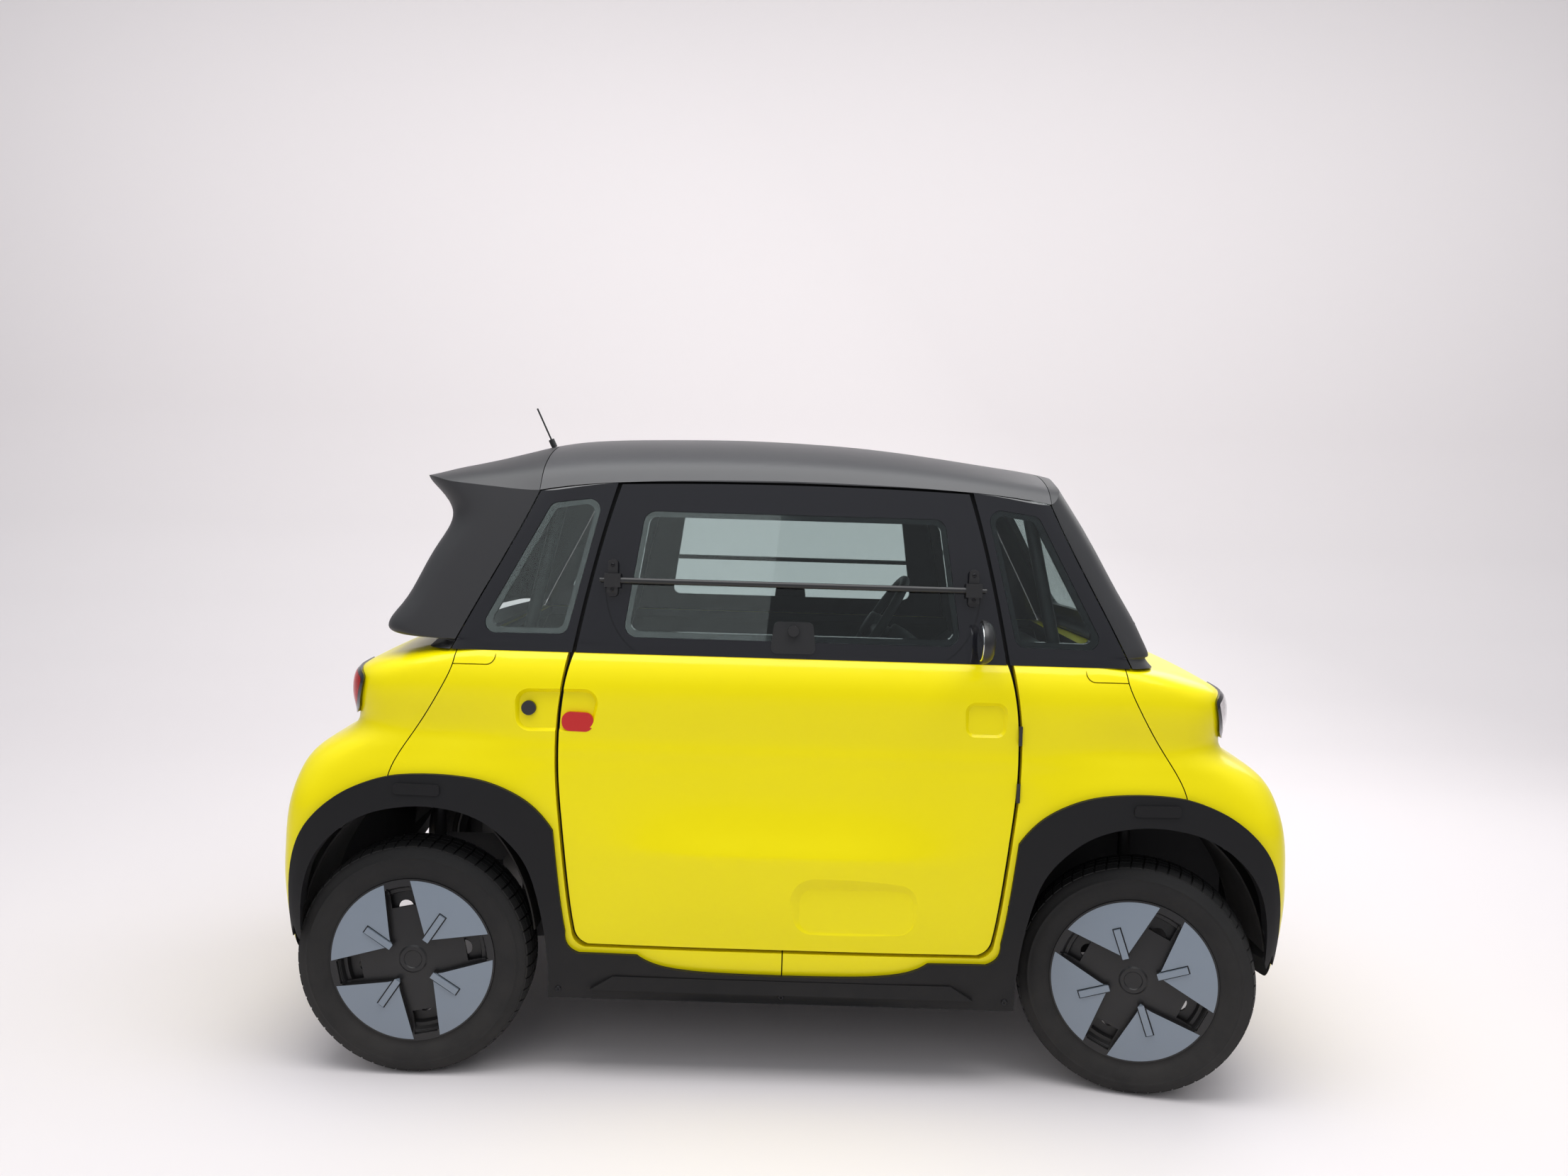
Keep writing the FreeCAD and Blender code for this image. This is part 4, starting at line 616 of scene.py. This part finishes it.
WHEELS = ("front_right", "front_left", "rear_right", "rear_left")
PETAL_STAND = 0.0708
PETAL_START, PETAL_END = 0.0575, 0.1915
for name in WHEELS:
    joint = joint_of("wheel_" + name)
    centre = Vector(joint["pos_m"])
    outward = Vector(joint["axis"]).normalized()
    if outward.y * centre.y < 0:
        outward = -outward
    disc = nodes["wheel_" + name].data
    finish_nodes(cover_black, "wheel_" + name)
    disc.materials.append(petal_grey)
    for polygon in disc.polygons:
        middle = sum((disc.vertices[v].co for v in polygon.vertices), Vector()) / len(polygon.vertices)
        stand = (middle - centre).dot(outward)
        reach = ((middle - centre) - outward * stand).length
        if stand > PETAL_STAND and PETAL_START < reach < PETAL_END:
            polygon.material_index = 1

# Tyres
# Radial tyres 155 mm wide. The carcass is turned from its section, with ribs moulded on the
# side walls, and the tread is a ring of slanted blocks between four grooves.

tread_tree = bpy.data.node_groups.new("tread_ring", "GeometryNodeTree")
tread_tree.interface.new_socket(name="Block", in_out="INPUT", socket_type="NodeSocketGeometry")
pitch_socket = tread_tree.interface.new_socket(name="Pitches", in_out="INPUT", socket_type="NodeSocketInt")
tread_tree.interface.new_socket(name="Ring", in_out="OUTPUT", socket_type="NodeSocketGeometry")
ring_in = tread_tree.nodes.new("NodeGroupInput")
ring_out = tread_tree.nodes.new("NodeGroupOutput")
posts = tread_tree.nodes.new("GeometryNodePoints")
which = tread_tree.nodes.new("GeometryNodeInputIndex")
step = math_node(tread_tree, "DIVIDE")
step.inputs[0].default_value = math.tau
turn_by = math_node(tread_tree, "MULTIPLY")
about_axle = tread_tree.nodes.new("ShaderNodeCombineXYZ")
euler = tread_tree.nodes.new("FunctionNodeEulerToRotation")
place_blocks = tread_tree.nodes.new("GeometryNodeInstanceOnPoints")
realize = tread_tree.nodes.new("GeometryNodeRealizeInstances")
paint = tread_tree.nodes.new("GeometryNodeSetMaterial")
paint.inputs["Material"].default_value = rubber
wire(tread_tree, ring_in.outputs["Pitches"], posts.inputs["Count"])
wire(tread_tree, ring_in.outputs["Pitches"], step.inputs[1])
wire(tread_tree, which.outputs["Index"], turn_by.inputs[0])
wire(tread_tree, step.outputs[0], turn_by.inputs[1])
wire(tread_tree, turn_by.outputs[0], about_axle.inputs["Y"])
wire(tread_tree, about_axle.outputs[0], euler.inputs["Euler"])
wire(tread_tree, posts.outputs[0], place_blocks.inputs["Points"])
wire(tread_tree, ring_in.outputs["Block"], place_blocks.inputs["Instance"])
wire(tread_tree, euler.outputs[0], place_blocks.inputs["Rotation"])
wire(tread_tree, place_blocks.outputs[0], realize.inputs[0])
wire(tread_tree, realize.outputs[0], paint.inputs["Geometry"])
wire(tread_tree, paint.outputs[0], ring_out.inputs["Ring"])

# Both edges of each rib of blocks, and the tread's radius there.
ROWS = ((-0.0630, -0.0420, 0.2720, 0.2776), (-0.0350, -0.0140, 0.2781, 0.2783),
        (-0.0080, 0.0080, 0.2783, 0.2783),
        (0.0140, 0.0350, 0.2783, 0.2781), (0.0420, 0.0630, 0.2776, 0.2720))
BLOCK_ROOT = 0.2695
BLOCK_HALF_DEGREES = 2.55
SLANT = 14.0
PITCHES = 60
verts, faces = [], []
for near, far, near_radius, far_radius in ROWS:
    base = len(verts)
    for radius_pair in ((BLOCK_ROOT, BLOCK_ROOT), (near_radius, far_radius)):
        for y, radius in ((near, radius_pair[0]), (far, radius_pair[1])):
            lean = abs(y) * SLANT
            for share in (-BLOCK_HALF_DEGREES, 0.0, BLOCK_HALF_DEGREES):
                angle = math.radians(share + lean)
                verts.append((radius * math.cos(angle), y, radius * math.sin(angle)))
    for k in (0, 1):
        faces.append((base + k, base + k + 1, base + k + 4, base + k + 3))
        faces.append((base + 6 + k, base + 9 + k, base + 10 + k, base + 7 + k))
        faces.append((base + k, base + 6 + k, base + 7 + k, base + k + 1))
        faces.append((base + 3 + k, base + 4 + k, base + 10 + k, base + 9 + k))
    faces.append((base, base + 3, base + 9, base + 6))
    faces.append((base + 2, base + 8, base + 11, base + 5))
tread = mesh_object("tread", verts, faces, smooth=False)
tidy_mesh(tread)
grown_by_nodes(tread, tread_tree, ((pitch_socket, PITCHES),))

# The side wall from bead to shoulder, as radius and half width, and then the lining.
WALL = [(0.1815, 0.0560), (0.1880, 0.0622), (0.1940, 0.0650), (0.1950, 0.0668), (0.1985, 0.0676),
        (0.2000, 0.0668), (0.2100, 0.0716), (0.2200, 0.0752), (0.2300, 0.0771), (0.2390, 0.0768),
        (0.2450, 0.0757), (0.2460, 0.0765), (0.2478, 0.0763), (0.2490, 0.0748), (0.2560, 0.0715),
        (0.2600, 0.0696), (0.2650, 0.0668), (0.2690, 0.0640), (0.2712, 0.0605), (0.2716, 0.0560),
        (0.2716, 0.0420)]
LINING = [(0.1815, 0.048), (0.2200, 0.066), (0.2620, 0.052)]
section = [(r, -y) for r, y in WALL] + [(r, y) for r, y in reversed(WALL)]
section += LINING + [(r, -y) for r, y in reversed(LINING)]
SPOKES = 120
verts, faces = [], []
for k in range(SPOKES):
    angle = math.tau * k / SPOKES
    verts += [(r * math.cos(angle), y, r * math.sin(angle)) for r, y in section]
    for j in range(len(section)):
        a, b = k * len(section), (k + 1) % SPOKES * len(section)
        nxt = (j + 1) % len(section)
        faces.append((a + j, b + j, b + nxt, a + nxt))
carcass = mesh_object("carcass", verts, faces)
tidy_mesh(carcass)
for name in WHEELS:
    joint = joint_of("wheel_" + name)
    axle = Vector(joint["axis"]).normalized()
    turn = Matrix.Translation(Vector(joint["pos_m"])) @ axle.to_track_quat("Y", "Z").to_matrix().to_4x4()
    verts = [turn @ v.co for half in (carcass, tread) for v in half.data.vertices]
    faces = [tuple(polygon.vertices) for polygon in carcass.data.polygons]
    smooth_faces = len(faces)
    base = len(carcass.data.vertices)
    faces += [tuple(base + v for v in polygon.vertices) for polygon in tread.data.polygons]
    tyre = mesh_object("tyre_dressed_" + name, verts, faces)
    for index in range(smooth_faces, len(faces)):
        tyre.data.polygons[index].use_smooth = False
    tyre.data.materials.append(rubber)
    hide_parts("tyre_" + name)
    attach(tyre, "wheel_" + name)
bpy.data.objects.remove(tread)
bpy.data.objects.remove(carcass)

# Cabin floor, dash and steering wheel
# Dark moulded plastic: a flat shelf of a dash with a small display pod, a foam-rimmed wheel on
# its column, and two stalks in a shroud.

cabin_plastic = surface("cabin_plastic", (0.030, 0.030, 0.032), 0.6, 900.0, 0.12, 0.1)
wheel_foam = surface("wheel_foam", (0.045, 0.045, 0.048), 0.5, 700.0, 0.12, 0.1)
screen_black = surface("screen_black", (0.006, 0.007, 0.010), 0.08, 700.0, 0.001, 0.05, coat=0.5)
finish_nodes(cabin_plastic, "dashboard", "floor_pan")
finish_nodes(wheel_foam, "steering_wheel")


def rounded_block(name, corners, low_y, high_y, radius, segments=3):
    """A solid whose side view is the polygon of corners (x, z), with its edges rounded."""
    count = len(corners)
    verts = [(x, y, z) for y in (low_y, high_y) for x, z in corners]
    faces = [tuple(range(count)), tuple(range(count, 2 * count))]
    faces += [(k, (k + 1) % count, count + (k + 1) % count, count + k) for k in range(count)]
    obj = mesh_object(name, verts, faces)
    tidy_mesh(obj)
    bm = bmesh.new()
    bm.from_mesh(obj.data)
    bmesh.ops.bevel(bm, geom=bm.edges[:], offset=radius, segments=segments, affect="EDGES", profile=0.5,
                    clamp_overlap=True)
    bm.to_mesh(obj.data)
    bm.free()
    for polygon in obj.data.polygons:
        polygon.use_smooth = True
    return obj


turn_joint = joint_of("steering_wheel")
wheel_middle = Vector(turn_joint["pos_m"])
toward_driver = Vector(turn_joint["axis"]).normalized()
if toward_driver.x > 0:
    toward_driver = -toward_driver
wheel_top = UP - toward_driver * UP.dot(toward_driver)
wheel_top.normalize()


def dash_piece(obj, material, body="car"):
    obj.data.materials.clear()
    obj.data.materials.append(material)
    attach(obj, body)
    return obj


pod_y = wheel_middle.y
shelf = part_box("dashboard")[1].z
POD = ((0.545, 0.0002), (0.530, 0.062), (0.512, 0.064), (0.497, 0.0002))
POD_GLASS = ((0.5065, 0.0085), (0.5155, 0.0565), (0.5125, 0.0570), (0.5035, 0.0090))
pod = rounded_block("display_pod", [(x, shelf + z) for x, z in POD], pod_y - 0.085, pod_y + 0.085, 0.006)
dash_piece(pod, cabin_plastic)
glass_face = rounded_block("display_glass", [(x, shelf + z) for x, z in POD_GLASS],
                           pod_y - 0.072, pod_y + 0.072, 0.001, 2)
for vertex in glass_face.data.vertices:
    vertex.co.x -= 0.0012
dash_piece(glass_face, screen_black)
shroud_axis = wheel_middle - toward_driver * 0.085
shroud = swept("column_shroud", [shroud_axis + toward_driver * d for d in (-0.05, -0.045, 0.0, 0.035, 0.040)],
               [0.036, 0.043, 0.047, 0.044, 0.037], 24)
dash_piece(shroud, cabin_plastic)
for side in (-1, 1):
    root = shroud_axis + Vector((0, side * 0.044, 0))
    way = (Vector((0, side * 1.0, 0)) + toward_driver * 0.18 + UP * 0.06 * side).normalized()
    stalk = swept("stalk_left" if side > 0 else "stalk_right",
                  [root + way * d for d in (0.0, 0.05, 0.09, 0.096, 0.125, 0.13)],
                  [0.0062, 0.0055, 0.0055, 0.0085, 0.0085, 0.0045], 16)
    dash_piece(stalk, cabin_plastic)
centre_pad = swept("wheel_pad", [wheel_middle + toward_driver * d for d in (0.012, 0.026, 0.031, 0.033)],
                   [0.0400, 0.0385, 0.032, 0.010], 32)
dash_piece(centre_pad, wheel_foam, "steering_wheel")

# Seats
# Moulded shells on the floor, each with a thin seat cushion and back cushion in dark woven
# cloth over foam, sewn in two channels across the middle.

weave_group, weave_in, weave_out = effect_group(
    "seat_weave", [("Height", "NodeSocketFloat"), ("Value", "NodeSocketFloat")])
group_input(weave_group, "Threads", "NodeSocketFloat", 2600.0)
coords = weave_group.nodes.new("ShaderNodeTexCoord")
split = weave_group.nodes.new("ShaderNodeSeparateXYZ")
slope = math_node(weave_group, "SUBTRACT")
wire(weave_group, coords.outputs["Object"], split.inputs["Vector"])
wire(weave_group, split.outputs["Z"], slope.inputs[0])
wire(weave_group, split.outputs["X"], slope.inputs[1])
threads = []
for source in (split.outputs["Y"], slope.outputs[0]):
    scaled = math_node(weave_group, "MULTIPLY")
    wave = math_node(weave_group, "SINE")
    wire(weave_group, source, scaled.inputs[0])
    wire(weave_group, weave_in.outputs["Threads"], scaled.inputs[1])
    wire(weave_group, scaled.outputs[0], wave.inputs[0])
    threads.append(wave.outputs[0])
crossing = math_node(weave_group, "MULTIPLY")
lifted = math_node(weave_group, "MULTIPLY_ADD")
lifted.inputs[1].default_value = 0.5
lifted.inputs[2].default_value = 0.5
wire(weave_group, threads[0], crossing.inputs[0])
wire(weave_group, threads[1], crossing.inputs[1])
wire(weave_group, crossing.outputs[0], lifted.inputs[0])
wire(weave_group, lifted.outputs[0], weave_out.inputs["Height"])
wire(weave_group, lifted.outputs[0], weave_out.inputs["Value"])

seat_cloth, tree, shader = new_material("seat_cloth")
weave = tree.nodes.new("ShaderNodeGroup")
weave.node_tree = weave_group
faded = tree.nodes.new("ShaderNodeTexNoise")
faded.inputs["Scale"].default_value = 9.0
place = tree.nodes.new("ShaderNodeTexCoord")
tint = color_mix(tree)
tint.inputs["A"].default_value = (0.022, 0.023, 0.026, 1)
tint.inputs["B"].default_value = (0.060, 0.062, 0.070, 1)
both = math_node(tree, "MULTIPLY")
wire(tree, place.outputs["Object"], faded.inputs["Vector"])
wire(tree, weave.outputs["Value"], both.inputs[0])
wire(tree, faded.outputs["Fac"], both.inputs[1])
wire(tree, both.outputs[0], tint.inputs["Factor"])
wire(tree, tint.outputs["Result"], shader.inputs["Base Color"])
relief = tree.nodes.new("ShaderNodeBump")
relief.inputs["Distance"].default_value = 0.0003
wire(tree, weave.outputs["Height"], relief.inputs["Height"])
wire(tree, relief.outputs["Normal"], shader.inputs["Normal"])
shader.inputs["Roughness"].default_value = 0.9
shader.inputs["Sheen Weight"].default_value = 0.35
shader.inputs["Sheen Roughness"].default_value = 0.4
seat_shell = surface("seat_shell", (0.022, 0.022, 0.023), 0.5, 900.0, 0.1, 0.1)
finish_nodes(seat_shell, "seat_frames")
CUSHION = ((-0.056, 0.4045), (-0.064, 0.463), (-0.372, 0.447), (-0.400, 0.381))
BACK = ((-0.4005, 0.478), (-0.5215, 0.950), (-0.5445, 0.950), (-0.4400, 0.478))
PAD_HALF = 0.185
SEAT_Y = 0.270
BOLSTER_SEAM = 0.125
SEAM_HALF_WIDTH = 0.006
SEAM_DEPTH = 0.0035


def upholstered(name, corners, middle_y, corner_radius, swell, channels):
    """A pad blown up as cloth over foam, then drawn in along its seams."""
    pad = rounded_block(name, corners, middle_y - PAD_HALF, middle_y + PAD_HALF, corner_radius)
    remesh = pad.modifiers.new("skin", "REMESH")
    remesh.mode = "VOXEL"
    remesh.voxel_size = 0.008
    bpy.context.view_layer.update()
    mesh = bpy.data.meshes.new_from_object(pad.evaluated_get(bpy.context.evaluated_depsgraph_get()))
    pad.modifiers.clear()
    pad.data = mesh
    start = [v.co.copy() for v in mesh.vertices]
    cloth = pad.modifiers.new("filling", "CLOTH")
    cloth.settings.quality = 6
    cloth.settings.use_pressure = True
    cloth.settings.uniform_pressure_force = 4.0
    cloth.settings.tension_stiffness = 30.0
    cloth.settings.compression_stiffness = 30.0
    cloth.settings.shear_stiffness = 15.0
    cloth.settings.effector_weights.gravity = 0.0
    for frame_number in range(1, 21):
        scene.frame_set(frame_number)
    bpy.context.view_layer.update()
    blown = bpy.data.meshes.new_from_object(pad.evaluated_get(bpy.context.evaluated_depsgraph_get()))
    pad.modifiers.clear()
    for vertex, begin in zip(blown.vertices, start):
        moved = vertex.co - begin
        if moved.length > swell:
            moved *= swell / moved.length
        vertex.co = begin + moved
    pad.data = blown
    scene.frame_set(1)
    length_way = Vector((corners[1][0] - corners[2][0], 0, corners[1][1] - corners[2][1]))
    if name.startswith("back"):
        length_way = Vector((corners[1][0] - corners[0][0], 0, corners[1][1] - corners[0][1]))
    length_way.normalize()
    middle = sum((Vector((x, middle_y, z)) for x, z in corners), Vector()) / 4
    bm = bmesh.new()
    bm.from_mesh(pad.data)
    bm.normal_update()
    for vertex in bm.verts:
        along = (vertex.co - middle).dot(length_way)
        side = vertex.co.y - middle_y
        dent = 0.0
        for seam in channels:
            across_pad = abs(side) < BOLSTER_SEAM
            dent = max(dent, math.exp(-((along - seam) / SEAM_HALF_WIDTH) ** 2) * across_pad)
        dent = max(dent, math.exp(-((abs(side) - BOLSTER_SEAM) / SEAM_HALF_WIDTH) ** 2))
        vertex.co -= vertex.normal * SEAM_DEPTH * dent
    bm.to_mesh(pad.data)
    bm.free()
    finer = pad.modifiers.new("finer", "SUBSURF")
    finer.levels = finer.render_levels = 1
    for polygon in pad.data.polygons:
        polygon.use_smooth = True
    pad.data.materials.clear()
    pad.data.materials.append(seat_cloth)
    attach(pad, "car")
    return pad


for side, label in ((-1, "right"), (1, "left")):
    seat_cushion = upholstered("cushion_" + label, CUSHION, side * SEAT_Y, 0.014, 0.007, (-0.06, 0.06))
    upholstered("back_" + label, BACK, side * SEAT_Y, 0.008, 0.005, (-0.12, 0.0, 0.12))
    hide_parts("seat_pads")
